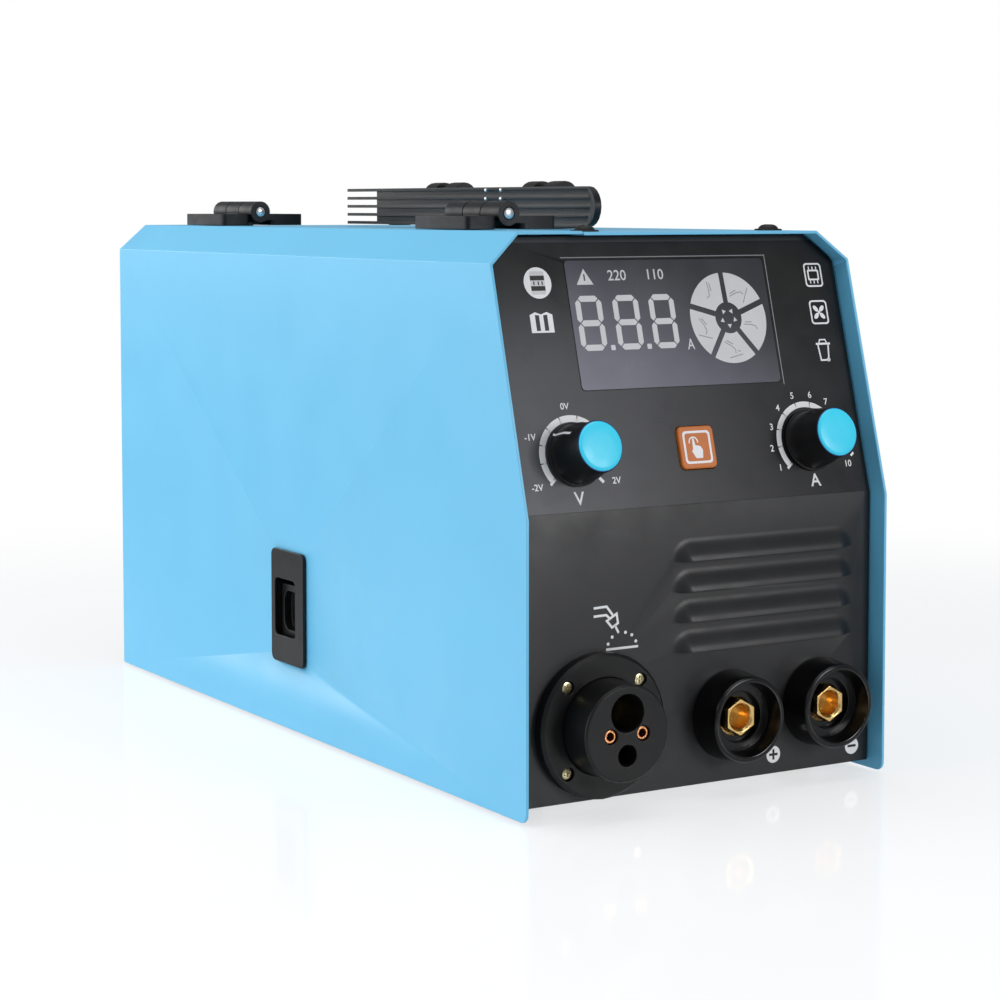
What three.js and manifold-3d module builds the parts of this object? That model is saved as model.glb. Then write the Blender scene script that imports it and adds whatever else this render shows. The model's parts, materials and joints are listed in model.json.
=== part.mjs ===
// A portable MIG / stick inverter welding machine with a side-opening wire compartment.
// Millimetres. +X is the right side seen from the front, +Y runs to the back, +Z is up.
// While it is built, Y = 0 is the front edge of the side sheets and Z = 0 is the floor.
// At the end the whole group is moved so that the origin is the bottom centre of its box.

import * as THREE from 'three';
import { mergeVertices } from 'three/addons/utils/BufferGeometryUtils.js';
import Module from 'manifold-3d';

const wasm = await Module();
wasm.setup();

// ---------------------------------------------------------------- driving dimensions

const GAP = 0.3; // clearance kept between neighbouring pieces

const CASE_W = 222;
const CASE_D = 500;
const CASE_TOP = 286.5;
const EDGE_Z = 1.5; // bottom edge of the side sheets, just off the floor
const SHEET = 1.6;
const CHAMFER_X = 18;
const CHAMFER_Z = 15.5;
const CORNER_R = 5; // lower front corner of the side sheets
const COVER_DROP = 0.6; // the cover's top lies this much under the door's top strip
const SEAM_X = -54.3; // joint line between the door and the cover
const HALF_W = CASE_W / 2;

const LIP = 11; // the front panel lies this far behind the edges of the side sheets
const FOLD_Z = 148.5; // the front panel bends back above this height
const SETBACK = 38.2; // how far the case front runs back from the fold to the top
const LEAN = Math.atan2(SETBACK, CASE_TOP - FOLD_Z);
const PANEL = 1.5;
const PANEL_HALF = 108.8;
const PANEL_BOTTOM = 6;
const FLANGE_Z = CASE_TOP - 2.8;
const FLANGE_BACK = 72;

const PAN_Z = 6.3;
const PAN_T = 1.5;
const PAN_FRONT = 13;
const PAN_BACK = 494;
const PAN_HALF = 108.6;
const PAN_LIP = 12;
const REAR_Y = 494.4;
const REAR_T = 1.5;

const FOOT = { x: 85, front: 45, back: 455, r: 10, height: 6 };

const WALL_X = -20; // left face of the centre partition
const WALL_T = 1.5;

const LOUVRE = { left: -19.5, right: 97, height: 11.5, bulge: 5, wall: 1.1, inset: 2.5 };
const LOUVRES = { first: 75, pitch: 15.4, count: 4 };
const VENTS = { first: 330, pitch: 20, count: 6, width: 4, height: 44, rows: [70, 132] };
const GRILLE = { r: 54, pitch: 12, half: 2.6, rib: 2.5, reach: 4 };
const CASE_INSET = SHEET + 1.1; // what stands inside the side sheets keeps this far in

const DISPLAY = { x: -0.5, u: 94.4, w: 124, h: 67 };
const BUTTON = { x: 0.8, u: 29.3, size: 21.8, r: 3, play: 0.8 };
const KNOB = { left: -72.2, right: 73, u: 29.3, skirtR: 16, r: 14.4, topR: 13.2, top: 24.8, capR: 12.4 };
const SHAFT = { r: 3, boreR: 3.3, panelR: 5 };
const BOARD = { top: -12.4, thick: 1.6 }; // control board, below the face of the panel

const TORCH = { x: -63, z: 43.5, flangeR: 36.5, flangeT: 7, coreR: 24.2, backR: 21, reach: 27 };
const TORCH_MAIN = { v: 10.2, r: 9.5 };
const TORCH_KEY = { v: -10.7, r: 5.4 };
const TORCH_PIN = { x: 9.4, v: -0.6, r: 3.8 };
const TORCH_SCREW = 21.3;

const POSITIVE = { x: 17.8, z: 40 };
const NEGATIVE = { x: 75, z: 41 };
const SOCKET = { holeGap: 0.5, baseR: 23.2, rimR: 21.8, reach: 18, neckR: 14.6 };
const CONTACT = { across: 16.4, top: 10, boreR: 6.2, chamfer: 1.2 };

const HINGE = { x: -56.3, rise: 8.6, r: 6.6, pinR: 3.1, length: 56, leafT: 7, front: 106, back: 404 };
const HINGE_FOOT = -HINGE.rise + GAP;

const LATCH = { y0: 234, y1: 274.5, z0: 39.5, z1: 104.2, proud: 2.3 };
const LATCH_OPENING = { y: 257, z: 71.3, w: 25.5, h: 32.6 };
const SLIDER = { x0: -109, x1: -101, y0: 240.4, y1: 269.6, z0: 50, z1: 84 };
const NOSE = { x0: -95.2, x1: -92.2, y0: 249.5, y1: 259.5, stemZ: 62.5, tipZ: 58.6, topZ: 74 };

const HANDLE = { pivotX: 26, pivotZ: CASE_TOP + 18, near: -1, far: 3.2, bottom: 287.6, top: 309.5 };
const GRIP = { front: 108.5, web: 358, back: 393, fins: 5, finT: 1.8, groove: 2.2 };
const BRACKETS = { front: 198, rear: 310.5 };
const EAR = { half: 18, inner: 5.4, r: 8.5, foot: 9.5, height: 3.5 }; // bracket cheeks and their foot

const WIRE = { x: TORCH.x, z: TORCH.z + TORCH_MAIN.v };
const FEED = { y: 130, rollR: 15, rollT: 12, plateX0: -50, plateX1: -44, running: 0.4 };
const ARM = { pivotY: 165, pivotZ: 72, tipY: 98 };
const TENSION = { y: 98, z: 42, knobZ: 92 };
const SPOOL = { y: 370, z: 150, r: 99, x0: -86, x1: -32, coreR: 44, boreR: 26 };

const FAN = { x: 46, z: 100, size: 119, y0: 467, y1: 492, ductR: 56.5 };
const SWITCH = { x: 78, z: 222 };
const GLAND = { x: 12, z: 222 };
const GAS = { x: -62, z: 34, holeR: 5.6 };
const HEATSINK = { x: -10, y0: 250, y1: 440, finZ: 30, baseZ: 90, top: 98, fins: 10, pitch: 11.7, finT: 2.7 };
const CORE = { x0: 20, x1: 92, y0: 176, y1: 236, z0: 12, z1: 76, limb: 12 }; // transformer core

// ---------------------------------------------------------------- materials

function paint(color, roughness, metalness) {
  return new THREE.MeshStandardMaterial({ color, roughness, metalness });
}

const BLUE_PAINT = paint(0x2f9fe0, 0.45, 0.25);
const BLACK_PAINT = paint(0x1d1e20, 0.6, 0.2);
const OVERLAY_FILM = paint(0x26272a, 0.45, 0.0);
const BLACK_PLASTIC = paint(0x17181a, 0.5, 0.0);
const HINGE_PLASTIC = paint(0x2b2c2e, 0.55, 0.0);
const SMOKED_WINDOW = paint(0x4a4d52, 0.15, 0.0);
const CAP_BLUE = paint(0x35b5f5, 0.4, 0.0);
const BUTTON_ORANGE = paint(0xd0713a, 0.45, 0.0);
const BRASS = paint(0xd9a441, 0.3, 1.0);
const STEEL = paint(0xc4c7ca, 0.35, 1.0);
const ZINC_SHEET = paint(0xa9adb0, 0.45, 0.9);
const RUBBER = paint(0x141414, 0.9, 0.0);
const ALUMINIUM = paint(0xb4b8bc, 0.4, 1.0);
const BOARD_GREEN = paint(0x14532d, 0.5, 0.1);
const SPOOL_PLASTIC = paint(0x202124, 0.5, 0.0);
const COIL_AMBER = paint(0x9a5a1e, 0.5, 0.3);
const KNOB_RED = paint(0xb3261e, 0.45, 0.0);

// ---------------------------------------------------------------- solids and booleans

function signedVolume(position, triangles) {
  const a = new THREE.Vector3();
  const b = new THREE.Vector3();
  const c = new THREE.Vector3();
  let sum = 0;
  for (let i = 0; i < triangles.length; i += 3) {
    a.fromBufferAttribute(position, triangles[i]);
    b.fromBufferAttribute(position, triangles[i + 1]);
    c.fromBufferAttribute(position, triangles[i + 2]);
    sum += a.dot(b.cross(c));
  }
  return sum / 6;
}

function toSolid(geometry) {
  const bare = geometry.clone();
  bare.deleteAttribute('normal');
  bare.deleteAttribute('uv');
  const merged = mergeVertices(bare, 1e-4);
  const position = merged.attributes.position;
  const index = merged.index.array;
  const triangles = [];
  for (let i = 0; i < index.length; i += 3) {
    const [a, b, c] = [index[i], index[i + 1], index[i + 2]];
    if (a !== b && b !== c && c !== a) triangles.push(a, b, c);
  }
  if (signedVolume(position, triangles) < 0) triangles.reverse();
  const mesh = new wasm.Mesh({
    numProp: 3,
    vertProperties: new Float32Array(position.array),
    triVerts: new Uint32Array(triangles),
  });
  return new wasm.Manifold(mesh);
}

function fromSolid(solid) {
  const mesh = solid.getMesh();
  const geometry = new THREE.BufferGeometry();
  geometry.setAttribute('position', new THREE.BufferAttribute(mesh.vertProperties, 3));
  geometry.setIndex(new THREE.BufferAttribute(mesh.triVerts, 1));
  return geometry;
}

function join(first, ...others) {
  return fromSolid(others.reduce((sum, other) => sum.add(toSolid(other)), toSolid(first)));
}

function cut(base, ...tools) {
  return fromSolid(tools.reduce((rest, tool) => rest.subtract(toSolid(tool)), toSolid(base)));
}

function common(first, second) {
  return fromSolid(toSolid(first).intersect(toSolid(second)));
}

// ---------------------------------------------------------------- shape helpers

function block(x0, x1, y0, y1, z0, z1) {
  const geometry = new THREE.BoxGeometry(x1 - x0, y1 - y0, z1 - z0);
  return geometry.translate((x0 + x1) / 2, (y0 + y1) / 2, (z0 + z1) / 2);
}

// A cylinder about a line parallel to Z.
function rod(r, z0, z1, x = 0, y = 0, segments = 18) {
  const geometry = new THREE.CylinderGeometry(r, r, z1 - z0, segments);
  return geometry.rotateX(Math.PI / 2).translate(x, y, (z0 + z1) / 2);
}

// A turned piece about Z from a profile of [radius, height] pairs.
function turned(profile, segments = 24) {
  const points = profile.map(([r, h]) => new THREE.Vector2(r, h));
  return new THREE.LatheGeometry(points, segments).rotateX(Math.PI / 2);
}

// A ring profile closes on itself.
function ring(profile, segments = 24) {
  return turned([...profile, profile[0]], segments);
}

function extrude(shape, z0, z1, curveSegments = 2) {
  const options = { depth: z1 - z0, bevelEnabled: false, curveSegments };
  return new THREE.ExtrudeGeometry(shape, options).translate(0, 0, z0);
}

// The shape lies in the XZ plane and runs along Y.
function alongY(shape, y0, y1, curveSegments = 2) {
  return extrude(shape, -y1, -y0, curveSegments).rotateX(Math.PI / 2);
}

// The shape lies in the YZ plane and runs along X.
function alongX(shape, x0, x1, curveSegments = 2) {
  const turn = new THREE.Matrix4().makeBasis(
    new THREE.Vector3(0, 1, 0),
    new THREE.Vector3(0, 0, 1),
    new THREE.Vector3(1, 0, 0),
  );
  return extrude(shape, x0, x1, curveSegments).applyMatrix4(turn);
}

function polygon(points) {
  return new THREE.Shape(points.map(([x, y]) => new THREE.Vector2(x, y)));
}

// Moves an open path sideways, to the right of its direction, with mitred corners.
function offsetPath(points, distance) {
  const path = points.map(([x, y]) => new THREE.Vector2(x, y));
  const normals = path.slice(1).map((point, i) => {
    const along = point.clone().sub(path[i]).normalize();
    return new THREE.Vector2(along.y, -along.x);
  });
  return path.map((point, i) => {
    const before = normals[Math.max(i - 1, 0)];
    const after = normals[Math.min(i, normals.length - 1)];
    const mitre = before.clone().add(after).divideScalar(1 + before.dot(after));
    return [point.x + mitre.x * distance, point.y + mitre.y * distance];
  });
}

// A bent sheet seen from its end.
function sheet(points, thickness) {
  return polygon([...points, ...offsetPath(points, thickness).reverse()]);
}

function roundedRect(cx, cy, w, h, r) {
  const [x0, x1, y0, y1] = [cx - w / 2, cx + w / 2, cy - h / 2, cy + h / 2];
  const shape = new THREE.Shape();
  shape.absarc(x1 - r, y0 + r, r, -Math.PI / 2, 0);
  shape.absarc(x1 - r, y1 - r, r, 0, Math.PI / 2);
  shape.absarc(x0 + r, y1 - r, r, Math.PI / 2, Math.PI);
  shape.absarc(x0 + r, y0 + r, r, Math.PI, 1.5 * Math.PI);
  return shape;
}

function regularPolygon(sides, acrossFlats) {
  const r = acrossFlats / 2 / Math.cos(Math.PI / sides);
  const corner = (i) => [r * Math.cos((2 * Math.PI * i) / sides), r * Math.sin((2 * Math.PI * i) / sides)];
  return polygon(Array.from({ length: sides }, (_, i) => corner(i)));
}

// ---------------------------------------------------------------- the scene graph

const machine = new THREE.Group();

// On the sloped control panel: local X across, Y up the slope, Z out of the panel.
const controlPanel = new THREE.Group();
controlPanel.position.set(0, LIP, FOLD_Z);
controlPanel.rotation.x = Math.PI / 2 - LEAN;
controlPanel.updateMatrix();
machine.add(controlPanel);

// Turns that point a frame's local Z out of the front, to the right or out of the back.
const FACING = {
  front: [Math.PI / 2, 0, 0],
  right: [0, Math.PI / 2, 0],
  back: [-Math.PI / 2, 0, 0],
};

function frame(facing, x, y, z) {
  const group = new THREE.Group();
  group.position.set(x, y, z);
  group.rotation.set(...FACING[facing]);
  group.updateMatrix();
  return group;
}

// A frame whose pieces belong to the machine.
function mounted(facing, x, y, z) {
  const group = frame(facing, x, y, z);
  machine.add(group);
  return group;
}

function add(name, geometry, material, parent = machine) {
  const mesh = new THREE.Mesh(geometry, material);
  mesh.name = name;
  parent.add(mesh);
  return mesh;
}

// A tool made in a group's local frame, for a cut in the machine's frame.
function inMachine(group, geometry) {
  return geometry.clone().applyMatrix4(group.matrix);
}

// ---------------------------------------------------------------- case sheets

function caseOutline(inset, bottom) {
  const outer = [
    [-HALF_W, bottom],
    [-HALF_W, CASE_TOP - CHAMFER_Z],
    [-HALF_W + CHAMFER_X, CASE_TOP],
    [HALF_W - CHAMFER_X, CASE_TOP],
    [HALF_W, CASE_TOP - CHAMFER_Z],
    [HALF_W, bottom],
  ];
  return polygon(offsetPath(outer, inset));
}

// Side view of the case: upright, then leaning back, with a rounded lower front corner.
function sideProfile() {
  const shape = new THREE.Shape();
  shape.moveTo(CASE_D, EDGE_Z);
  shape.lineTo(CASE_D, CASE_TOP + 1);
  shape.lineTo(SETBACK + Math.tan(LEAN), CASE_TOP + 1);
  shape.lineTo(0, FOLD_Z);
  shape.lineTo(0, EDGE_Z + CORNER_R);
  shape.absarc(CORNER_R, EDGE_Z + CORNER_R, CORNER_R, Math.PI, 1.5 * Math.PI);
  return shape;
}

function caseShell(path) {
  const shell = alongY(sheet(path, SHEET), -1, CASE_D + 1);
  return common(shell, alongX(sideProfile(), -HALF_W - 1, HALF_W + 1));
}

function sideDoor() {
  const shell = caseShell([
    [-HALF_W, 0],
    [-HALF_W, CASE_TOP - CHAMFER_Z],
    [-HALF_W + CHAMFER_X, CASE_TOP],
    [SEAM_X - 0.2, CASE_TOP],
  ]);
  const window = block(
    -HALF_W - 1,
    -HALF_W + SHEET + 1,
    LATCH.y0 + 3,
    LATCH.y1 - 1.5,
    LATCH.z0 + 4,
    LATCH.z1 - 2.5,
  );
  return cut(shell, window);
}

function coverVents() {
  const vents = [];
  for (const z of VENTS.rows) {
    for (let i = 0; i < VENTS.count; i += 1) {
      const y = VENTS.first + i * VENTS.pitch;
      vents.push(block(HALF_W - SHEET - 1, HALF_W + 1, y, y + VENTS.width, z, z + VENTS.height));
    }
  }
  return vents;
}

function topCover() {
  const top = CASE_TOP - COVER_DROP;
  const shell = caseShell([
    [SEAM_X + 0.2, top],
    [HALF_W - CHAMFER_X, top],
    [HALF_W, CASE_TOP - CHAMFER_Z],
    [HALF_W, 0],
  ]);
  return cut(shell, ...coverVents());
}

// One louvre: a long swelling that rises smoothly from the sheet, with rounded ends.
// Its lower half is cut away, which leaves it open along its lower edge.
function louvreShell(bottom, height, bulge) {
  const steps = 7;
  const swell = Array.from({ length: steps + 1 }, (_, i) => [
    (height * i) / steps,
    (bulge * (1 + Math.cos((Math.PI * i) / steps))) / 2,
  ]);
  const foot = -PANEL - 1;
  const [x0, x1] = [LOUVRE.left + LOUVRE.height, LOUVRE.right - LOUVRE.height];
  const dome = turned([...swell, [height, foot], [0, foot]], 20);
  const section = swell.map(([v, n]) => [LIP - n, bottom + v]);
  const bar = alongX(polygon([...section, [LIP - foot, bottom + height], [LIP - foot, bottom]]), x0, x1);
  const ends = [x0, x1].map((x) => inMachine(frame('front', x, LIP, bottom), dome));
  const upper = block(x0 - 20, x1 + 20, LIP - 20, LIP + 20, bottom, bottom + 20);
  return common(join(bar, ...ends), upper);
}

function frontPanel() {
  const slopeAt = (z) => LIP + Math.tan(LEAN) * (z - FOLD_Z);
  const path = [
    [LIP, PANEL_BOTTOM],
    [LIP, FOLD_Z],
    [slopeAt(FLANGE_Z), FLANGE_Z],
    [FLANGE_BACK, FLANGE_Z],
  ];
  let panel = alongX(sheet(path, PANEL), -PANEL_HALF, PANEL_HALF);
  panel = common(panel, alongY(caseOutline(CASE_INSET, -10), 0, 100));
  const { height, bulge, wall, inset } = LOUVRE;
  for (let i = 0; i < LOUVRES.count; i += 1) {
    const bottom = LOUVRES.first + i * LOUVRES.pitch;
    const outer = louvreShell(bottom, height, bulge);
    const front = block(-HALF_W, HALF_W, LIP - 20, LIP + PANEL / 2, bottom - 1, bottom + 20);
    const hollow = louvreShell(bottom - 0.01, height - inset, bulge - wall);
    panel = cut(join(panel, common(outer, front)), hollow);
  }
  return cut(panel, ...frontOpenings());
}

// The window's rim is seated on the panel, so its opening is smaller than the window.
function frontOpenings() {
  const onLower = (x, z, r) => inMachine(frame('front', x, LIP, z), rod(r, -6, 6));
  const onSlope = (geometry) => inMachine(controlPanel, geometry);
  const { x, u, w, h } = DISPLAY;
  return [
    onLower(TORCH.x, TORCH.z, TORCH.backR + 0.6),
    onLower(POSITIVE.x, POSITIVE.z, SOCKET.neckR + SOCKET.holeGap),
    onLower(NEGATIVE.x, NEGATIVE.z, SOCKET.neckR + SOCKET.holeGap),
    onSlope(rod(SHAFT.panelR, -6, 6, KNOB.left, KNOB.u, 14)),
    onSlope(rod(SHAFT.panelR, -6, 6, KNOB.right, KNOB.u, 14)),
    onSlope(extrude(roundedRect(x, u, w - 3, h - 3, 2), -6, 6, 1)),
    onSlope(extrude(buttonOpening(), -6, 6)),
  ];
}

function buttonOpening() {
  const size = BUTTON.size + BUTTON.play;
  return roundedRect(BUTTON.x, BUTTON.u, size, size, BUTTON.r);
}

function basePan() {
  const [z0, z1] = [PAN_Z, PAN_Z + PAN_T];
  const top = z1 + PAN_LIP;
  return join(
    block(-PAN_HALF, PAN_HALF, PAN_FRONT, PAN_BACK, z0, z1),
    block(-PAN_HALF, PAN_HALF, PAN_FRONT, PAN_FRONT + PAN_T, z0, top),
    block(-PAN_HALF, PAN_HALF, PAN_BACK - PAN_T, PAN_BACK, z0, top),
    block(-PAN_HALF, -PAN_HALF + PAN_T, PAN_FRONT, PAN_BACK, z0, top),
    block(PAN_HALF - PAN_T, PAN_HALF, PAN_FRONT, PAN_BACK, z0, top),
  );
}

// Straight slots that fill a circle in front of the fan, either side of an upright rib.
function fanGrille() {
  const { r, pitch, half, rib, reach } = GRILLE;
  const slots = [];
  for (let i = -reach; i <= reach; i += 1) {
    const z = FAN.z + i * pitch;
    const end = Math.sqrt(r * r - (Math.abs(i) * pitch + half) ** 2);
    slots.push(block(FAN.x - end, FAN.x - rib, REAR_Y - 2, REAR_Y + 4, z - half, z + half));
    slots.push(block(FAN.x + rib, FAN.x + end, REAR_Y - 2, REAR_Y + 4, z - half, z + half));
  }
  return slots;
}

function rearPanel() {
  const plate = alongY(caseOutline(CASE_INSET, PANEL_BOTTOM), REAR_Y, REAR_Y + REAR_T);
  const through = (place, r) => inMachine(frame('back', place.x, REAR_Y, place.z), rod(r, -5, 5));
  const rocker = roundedRect(SWITCH.x, SWITCH.z, 27.2, 22, 1);
  const switchHole = alongY(rocker, REAR_Y - 2, REAR_Y + 4, 1);
  return cut(plate, through(GLAND, 8.6), through(GAS, GAS.holeR), switchHole, ...fanGrille());
}

function centrePartition() {
  const floor = PAN_Z + PAN_T + GAP;
  const path = [
    [WALL_X + 16, floor],
    [WALL_X, floor],
    [WALL_X, CASE_TOP - 5.5],
  ];
  const bent = alongY(sheet(path, WALL_T), 66, 478);
  const motorHole = inMachine(frame('right', WALL_X, FEED.y, driveAxisZ()), rod(23.5, -3, 5));
  const cableHole = block(WALL_X - 2, WALL_X + 4, 200, 232, 30, 56);
  const axle = inMachine(frame('right', WALL_X, SPOOL.y, SPOOL.z), rod(5, -57.5, 1, 0, 0, 14));
  const collar = inMachine(frame('right', WALL_X, SPOOL.y, SPOOL.z), rod(9, -5, 1));
  return join(cut(bent, motorHole, cableHole), axle, collar);
}

function rubberFoot() {
  const { r, height } = FOOT;
  return turned([[0, 0], [r - 1.5, 0], [r - 0.5, 1], [r, height - 1], [r, height], [0, height]], 14);
}

function buildCase() {
  add('base_pan', basePan(), ZINC_SHEET);
  add('front_panel', frontPanel(), BLACK_PAINT);
  add('rear_panel', rearPanel(), BLACK_PAINT);
  add('top_cover', topCover(), BLUE_PAINT);
  add('side_door', sideDoor(), BLUE_PAINT);
  add('centre_partition', centrePartition(), ZINC_SHEET);
  for (const [end, y] of [['front', FOOT.front], ['rear', FOOT.back]]) {
    for (const [side, x] of [['left', -FOOT.x], ['right', FOOT.x]]) {
      add(`foot_${end}_${side}`, rubberFoot(), RUBBER).position.set(x, y, 0);
    }
  }
}

// ---------------------------------------------------------------- door hinges and latch

// Local frame of a hinge: X and Z from the hinge axis, Y from the hinge's front end.
function knuckle(r, y0, y1) {
  const shape = new THREE.Shape();
  shape.absarc(0, 0, r, 0, 2 * Math.PI);
  return alongY(shape, y0, y1, 9);
}

function leafPlate(x0, x1) {
  const outline = roundedRect((x0 + x1) / 2, HINGE.length / 2, x1 - x0, HINGE.length, 3);
  return extrude(outline, HINGE_FOOT, HINGE_FOOT + HINGE.leafT);
}

function leafArm(x0, x1, y0, y1) {
  return block(x0, x1, y0, y1, HINGE_FOOT + 3.2, HINGE_FOOT + HINGE.leafT);
}

function coverLeaf() {
  const third = HINGE.length / 3;
  const solid = join(
    leafPlate(7.2, 29.4),
    knuckle(HINGE.r, 0, third - GAP),
    leafArm(0, 12, 0, third - GAP),
    knuckle(HINGE.r, 2 * third + GAP, HINGE.length),
    leafArm(0, 12, 2 * third + GAP, HINGE.length),
  );
  return cut(solid, knuckle(HINGE.pinR + GAP, -1, HINGE.length + 1));
}

function doorLeaf() {
  const third = HINGE.length / 3;
  const solid = join(
    leafPlate(-25.9, -7.2),
    knuckle(HINGE.r, third + GAP, 2 * third - GAP),
    leafArm(-12, 0, third + GAP, 2 * third - GAP),
  );
  return cut(solid, knuckle(HINGE.pinR + GAP, -1, HINGE.length + 1));
}

function buildHinges() {
  for (const [end, y] of [['front', HINGE.front], ['rear', HINGE.back]]) {
    const group = new THREE.Group();
    group.position.set(HINGE.x, y, CASE_TOP + HINGE.rise);
    machine.add(group);
    add(`hinge_${end}_cover_leaf`, coverLeaf(), HINGE_PLASTIC, group);
    add(`hinge_${end}_door_leaf`, doorLeaf(), HINGE_PLASTIC, group);
    add(`hinge_${end}_pin`, knuckle(HINGE.pinR, -0.4, HINGE.length + 0.4), STEEL, group);
  }
}

function latchBezel() {
  const face = -HALF_W - LATCH.proud;
  const [cy, cz] = [(LATCH.y0 + LATCH.y1) / 2, (LATCH.z0 + LATCH.z1) / 2];
  const outline = roundedRect(cy, cz, LATCH.y1 - LATCH.y0, LATCH.z1 - LATCH.z0, 4);
  const frame = alongX(outline, face, -HALF_W - GAP);
  const tub = block(-HALF_W - GAP - 0.5, -98, LATCH.y0 + 4, LATCH.y1 - 2.4, 46, 101);
  const cavity = block(-HALF_W - 0.5, -99.5, SLIDER.y0 - 0.8, SLIDER.y1 + 0.8, 48, 99);
  const { y, z, w, h } = LATCH_OPENING;
  const opening = alongX(roundedRect(y, z, w, h, 3), face - 1, -HALF_W + 1);
  const slot = block(-100.5, -97, NOSE.y0 - 2.5, NOSE.y1 + 2.5, 57.5, 92);
  return cut(join(frame, tub), cavity, opening, slot);
}

// The slider's finger scoop is open to the front and its nose hangs behind the keeper.
function latchSlider() {
  const { x0, x1, y0, y1, z0, z1 } = SLIDER;
  const scoop = alongX(roundedRect(256.5, 69, 20, 22, 6), x0 - 1, x0 + 5, 3);
  const stem = block(x1 - 0.5, NOSE.x1, NOSE.y0, NOSE.y1, NOSE.stemZ, NOSE.topZ);
  const nose = block(NOSE.x0, NOSE.x1, NOSE.y0, NOSE.y1, NOSE.tipZ, NOSE.topZ);
  return join(cut(block(x0, x1, y0, y1, z0, z1), scoop), stem, nose);
}

function latchKeeper() {
  const floor = PAN_Z + PAN_T + GAP;
  const path = [
    [-97.2, 58],
    [-97.2, floor],
    [-80, floor],
  ];
  const mirrored = path.slice().reverse();
  return alongY(sheet(mirrored, 1.5), 243.5, 265.5);
}

class Helix extends THREE.Curve {
  constructor(radius, height, turns) {
    super();
    Object.assign(this, { radius, height, turns });
  }

  getPoint(t, target = new THREE.Vector3()) {
    const angle = 2 * Math.PI * this.turns * t;
    return target.set(this.radius * Math.cos(angle), this.radius * Math.sin(angle), this.height * t);
  }
}

function latchSpring() {
  const section = new THREE.Shape();
  section.absarc(0, 0, 0.6, 0, 2 * Math.PI);
  const path = new Helix(2.6, 12.6, 4);
  return new THREE.ExtrudeGeometry(section, { steps: 32, extrudePath: path, curveSegments: 3 });
}

function buildLatch() {
  add('latch_bezel', latchBezel(), BLACK_PLASTIC);
  add('latch_slider', latchSlider(), BLACK_PLASTIC);
  add('latch_spring', latchSpring(), STEEL).position.set(-105, 254.5, SLIDER.z1 + 1);
  add('latch_keeper', latchKeeper(), ZINC_SHEET);
}

// ---------------------------------------------------------------- carrying handle

// The grip's side view: a bar with a round front end, square at the back.
function gripOutline() {
  const middle = (HANDLE.bottom + HANDLE.top) / 2;
  const r = (HANDLE.top - HANDLE.bottom) / 2;
  const shape = new THREE.Shape();
  shape.absarc(GRIP.front + r, middle, r, Math.PI / 2, 1.5 * Math.PI);
  shape.lineTo(GRIP.back, HANDLE.bottom);
  shape.lineTo(GRIP.back, HANDLE.top);
  return shape;
}

// The fins run the whole length and stand free behind the web's end.
function handleBail() {
  let bail = alongX(gripOutline(), HANDLE.near, HANDLE.far, 5);
  const step = (HANDLE.top - HANDLE.bottom - GRIP.finT) / (GRIP.fins - 1);
  for (let i = 0; i < GRIP.fins - 1; i += 1) {
    const z0 = HANDLE.bottom + i * step + GRIP.finT;
    const z1 = z0 + step - GRIP.finT;
    const inner = i === 0 || i === GRIP.fins - 2 ? 7 : 5;
    bail = cut(
      bail,
      block(HANDLE.near - 1, HANDLE.near + GRIP.groove, GRIP.front + inner, GRIP.web + 1, z0, z1),
      block(HANDLE.near - 1, HANDLE.far + 1, GRIP.web, GRIP.back + 1, z0, z1),
    );
  }
  const eye = new THREE.Shape();
  eye.absarc(HANDLE.pivotX, HANDLE.pivotZ, 6.5, 0, 2 * Math.PI);
  for (const y of Object.values(BRACKETS)) {
    const { far, pivotX, pivotZ } = HANDLE;
    const arm = block(far - 1, pivotX, y - 5, y + 5, pivotZ - 5, pivotZ + 5);
    bail = join(bail, arm, alongY(eye, y - 5, y + 5, 7));
  }
  return cut(bail, ...Object.values(BRACKETS).map((y) => handlePin(2.9, y)));
}

function handlePin(r, y) {
  const shape = new THREE.Shape();
  shape.absarc(HANDLE.pivotX, HANDLE.pivotZ, r, 0, 2 * Math.PI);
  return alongY(shape, y - EAR.half - 0.3, y + EAR.half + 0.3, 7);
}

function handleBracket(y) {
  const floor = CASE_TOP - COVER_DROP + GAP;
  const { pivotX: x, pivotZ: z } = HANDLE;
  const ear = new THREE.Shape();
  ear.moveTo(x - EAR.foot, floor);
  ear.lineTo(x + EAR.foot, floor);
  ear.lineTo(x + EAR.r, z);
  ear.absarc(x, z, EAR.r, 0, Math.PI);
  ear.lineTo(x - EAR.foot, floor);
  const foot = extrude(roundedRect(x + 2, y, 24, 2 * EAR.half, 3), floor, floor + EAR.height);
  const near = alongY(ear, y - EAR.half, y - EAR.inner, 5);
  const far = alongY(ear, y + EAR.inner, y + EAR.half, 5);
  const solid = join(foot, near, far);
  return cut(solid, handlePin(2.9, y));
}

function buildHandle() {
  add('handle_bail', handleBail(), HINGE_PLASTIC);
  for (const [end, y] of Object.entries(BRACKETS)) {
    add(`handle_bracket_${end}`, handleBracket(y), HINGE_PLASTIC);
    add(`handle_pin_${end}`, handlePin(2.5, y), STEEL);
  }
}

// ---------------------------------------------------------------- control panel

function controlOverlay() {
  const film = extrude(roundedRect(0, 69, 213, 136, 1.5), GAP, GAP + 0.6, 1);
  const { x, u, w, h } = DISPLAY;
  const limit = alongY(caseOutline(CASE_INSET, -10), -20, 100);
  const toPanel = controlPanel.matrix.clone().invert();
  return cut(
    common(film, limit.applyMatrix4(toPanel)),
    extrude(roundedRect(x, u, w, h, 2), -2, 3, 1),
    rod(SHAFT.panelR + 0.2, -2, 3, KNOB.left, KNOB.u, 14),
    rod(SHAFT.panelR + 0.2, -2, 3, KNOB.right, KNOB.u, 14),
    extrude(buttonOpening(), -2, 3),
  );
}

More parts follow.
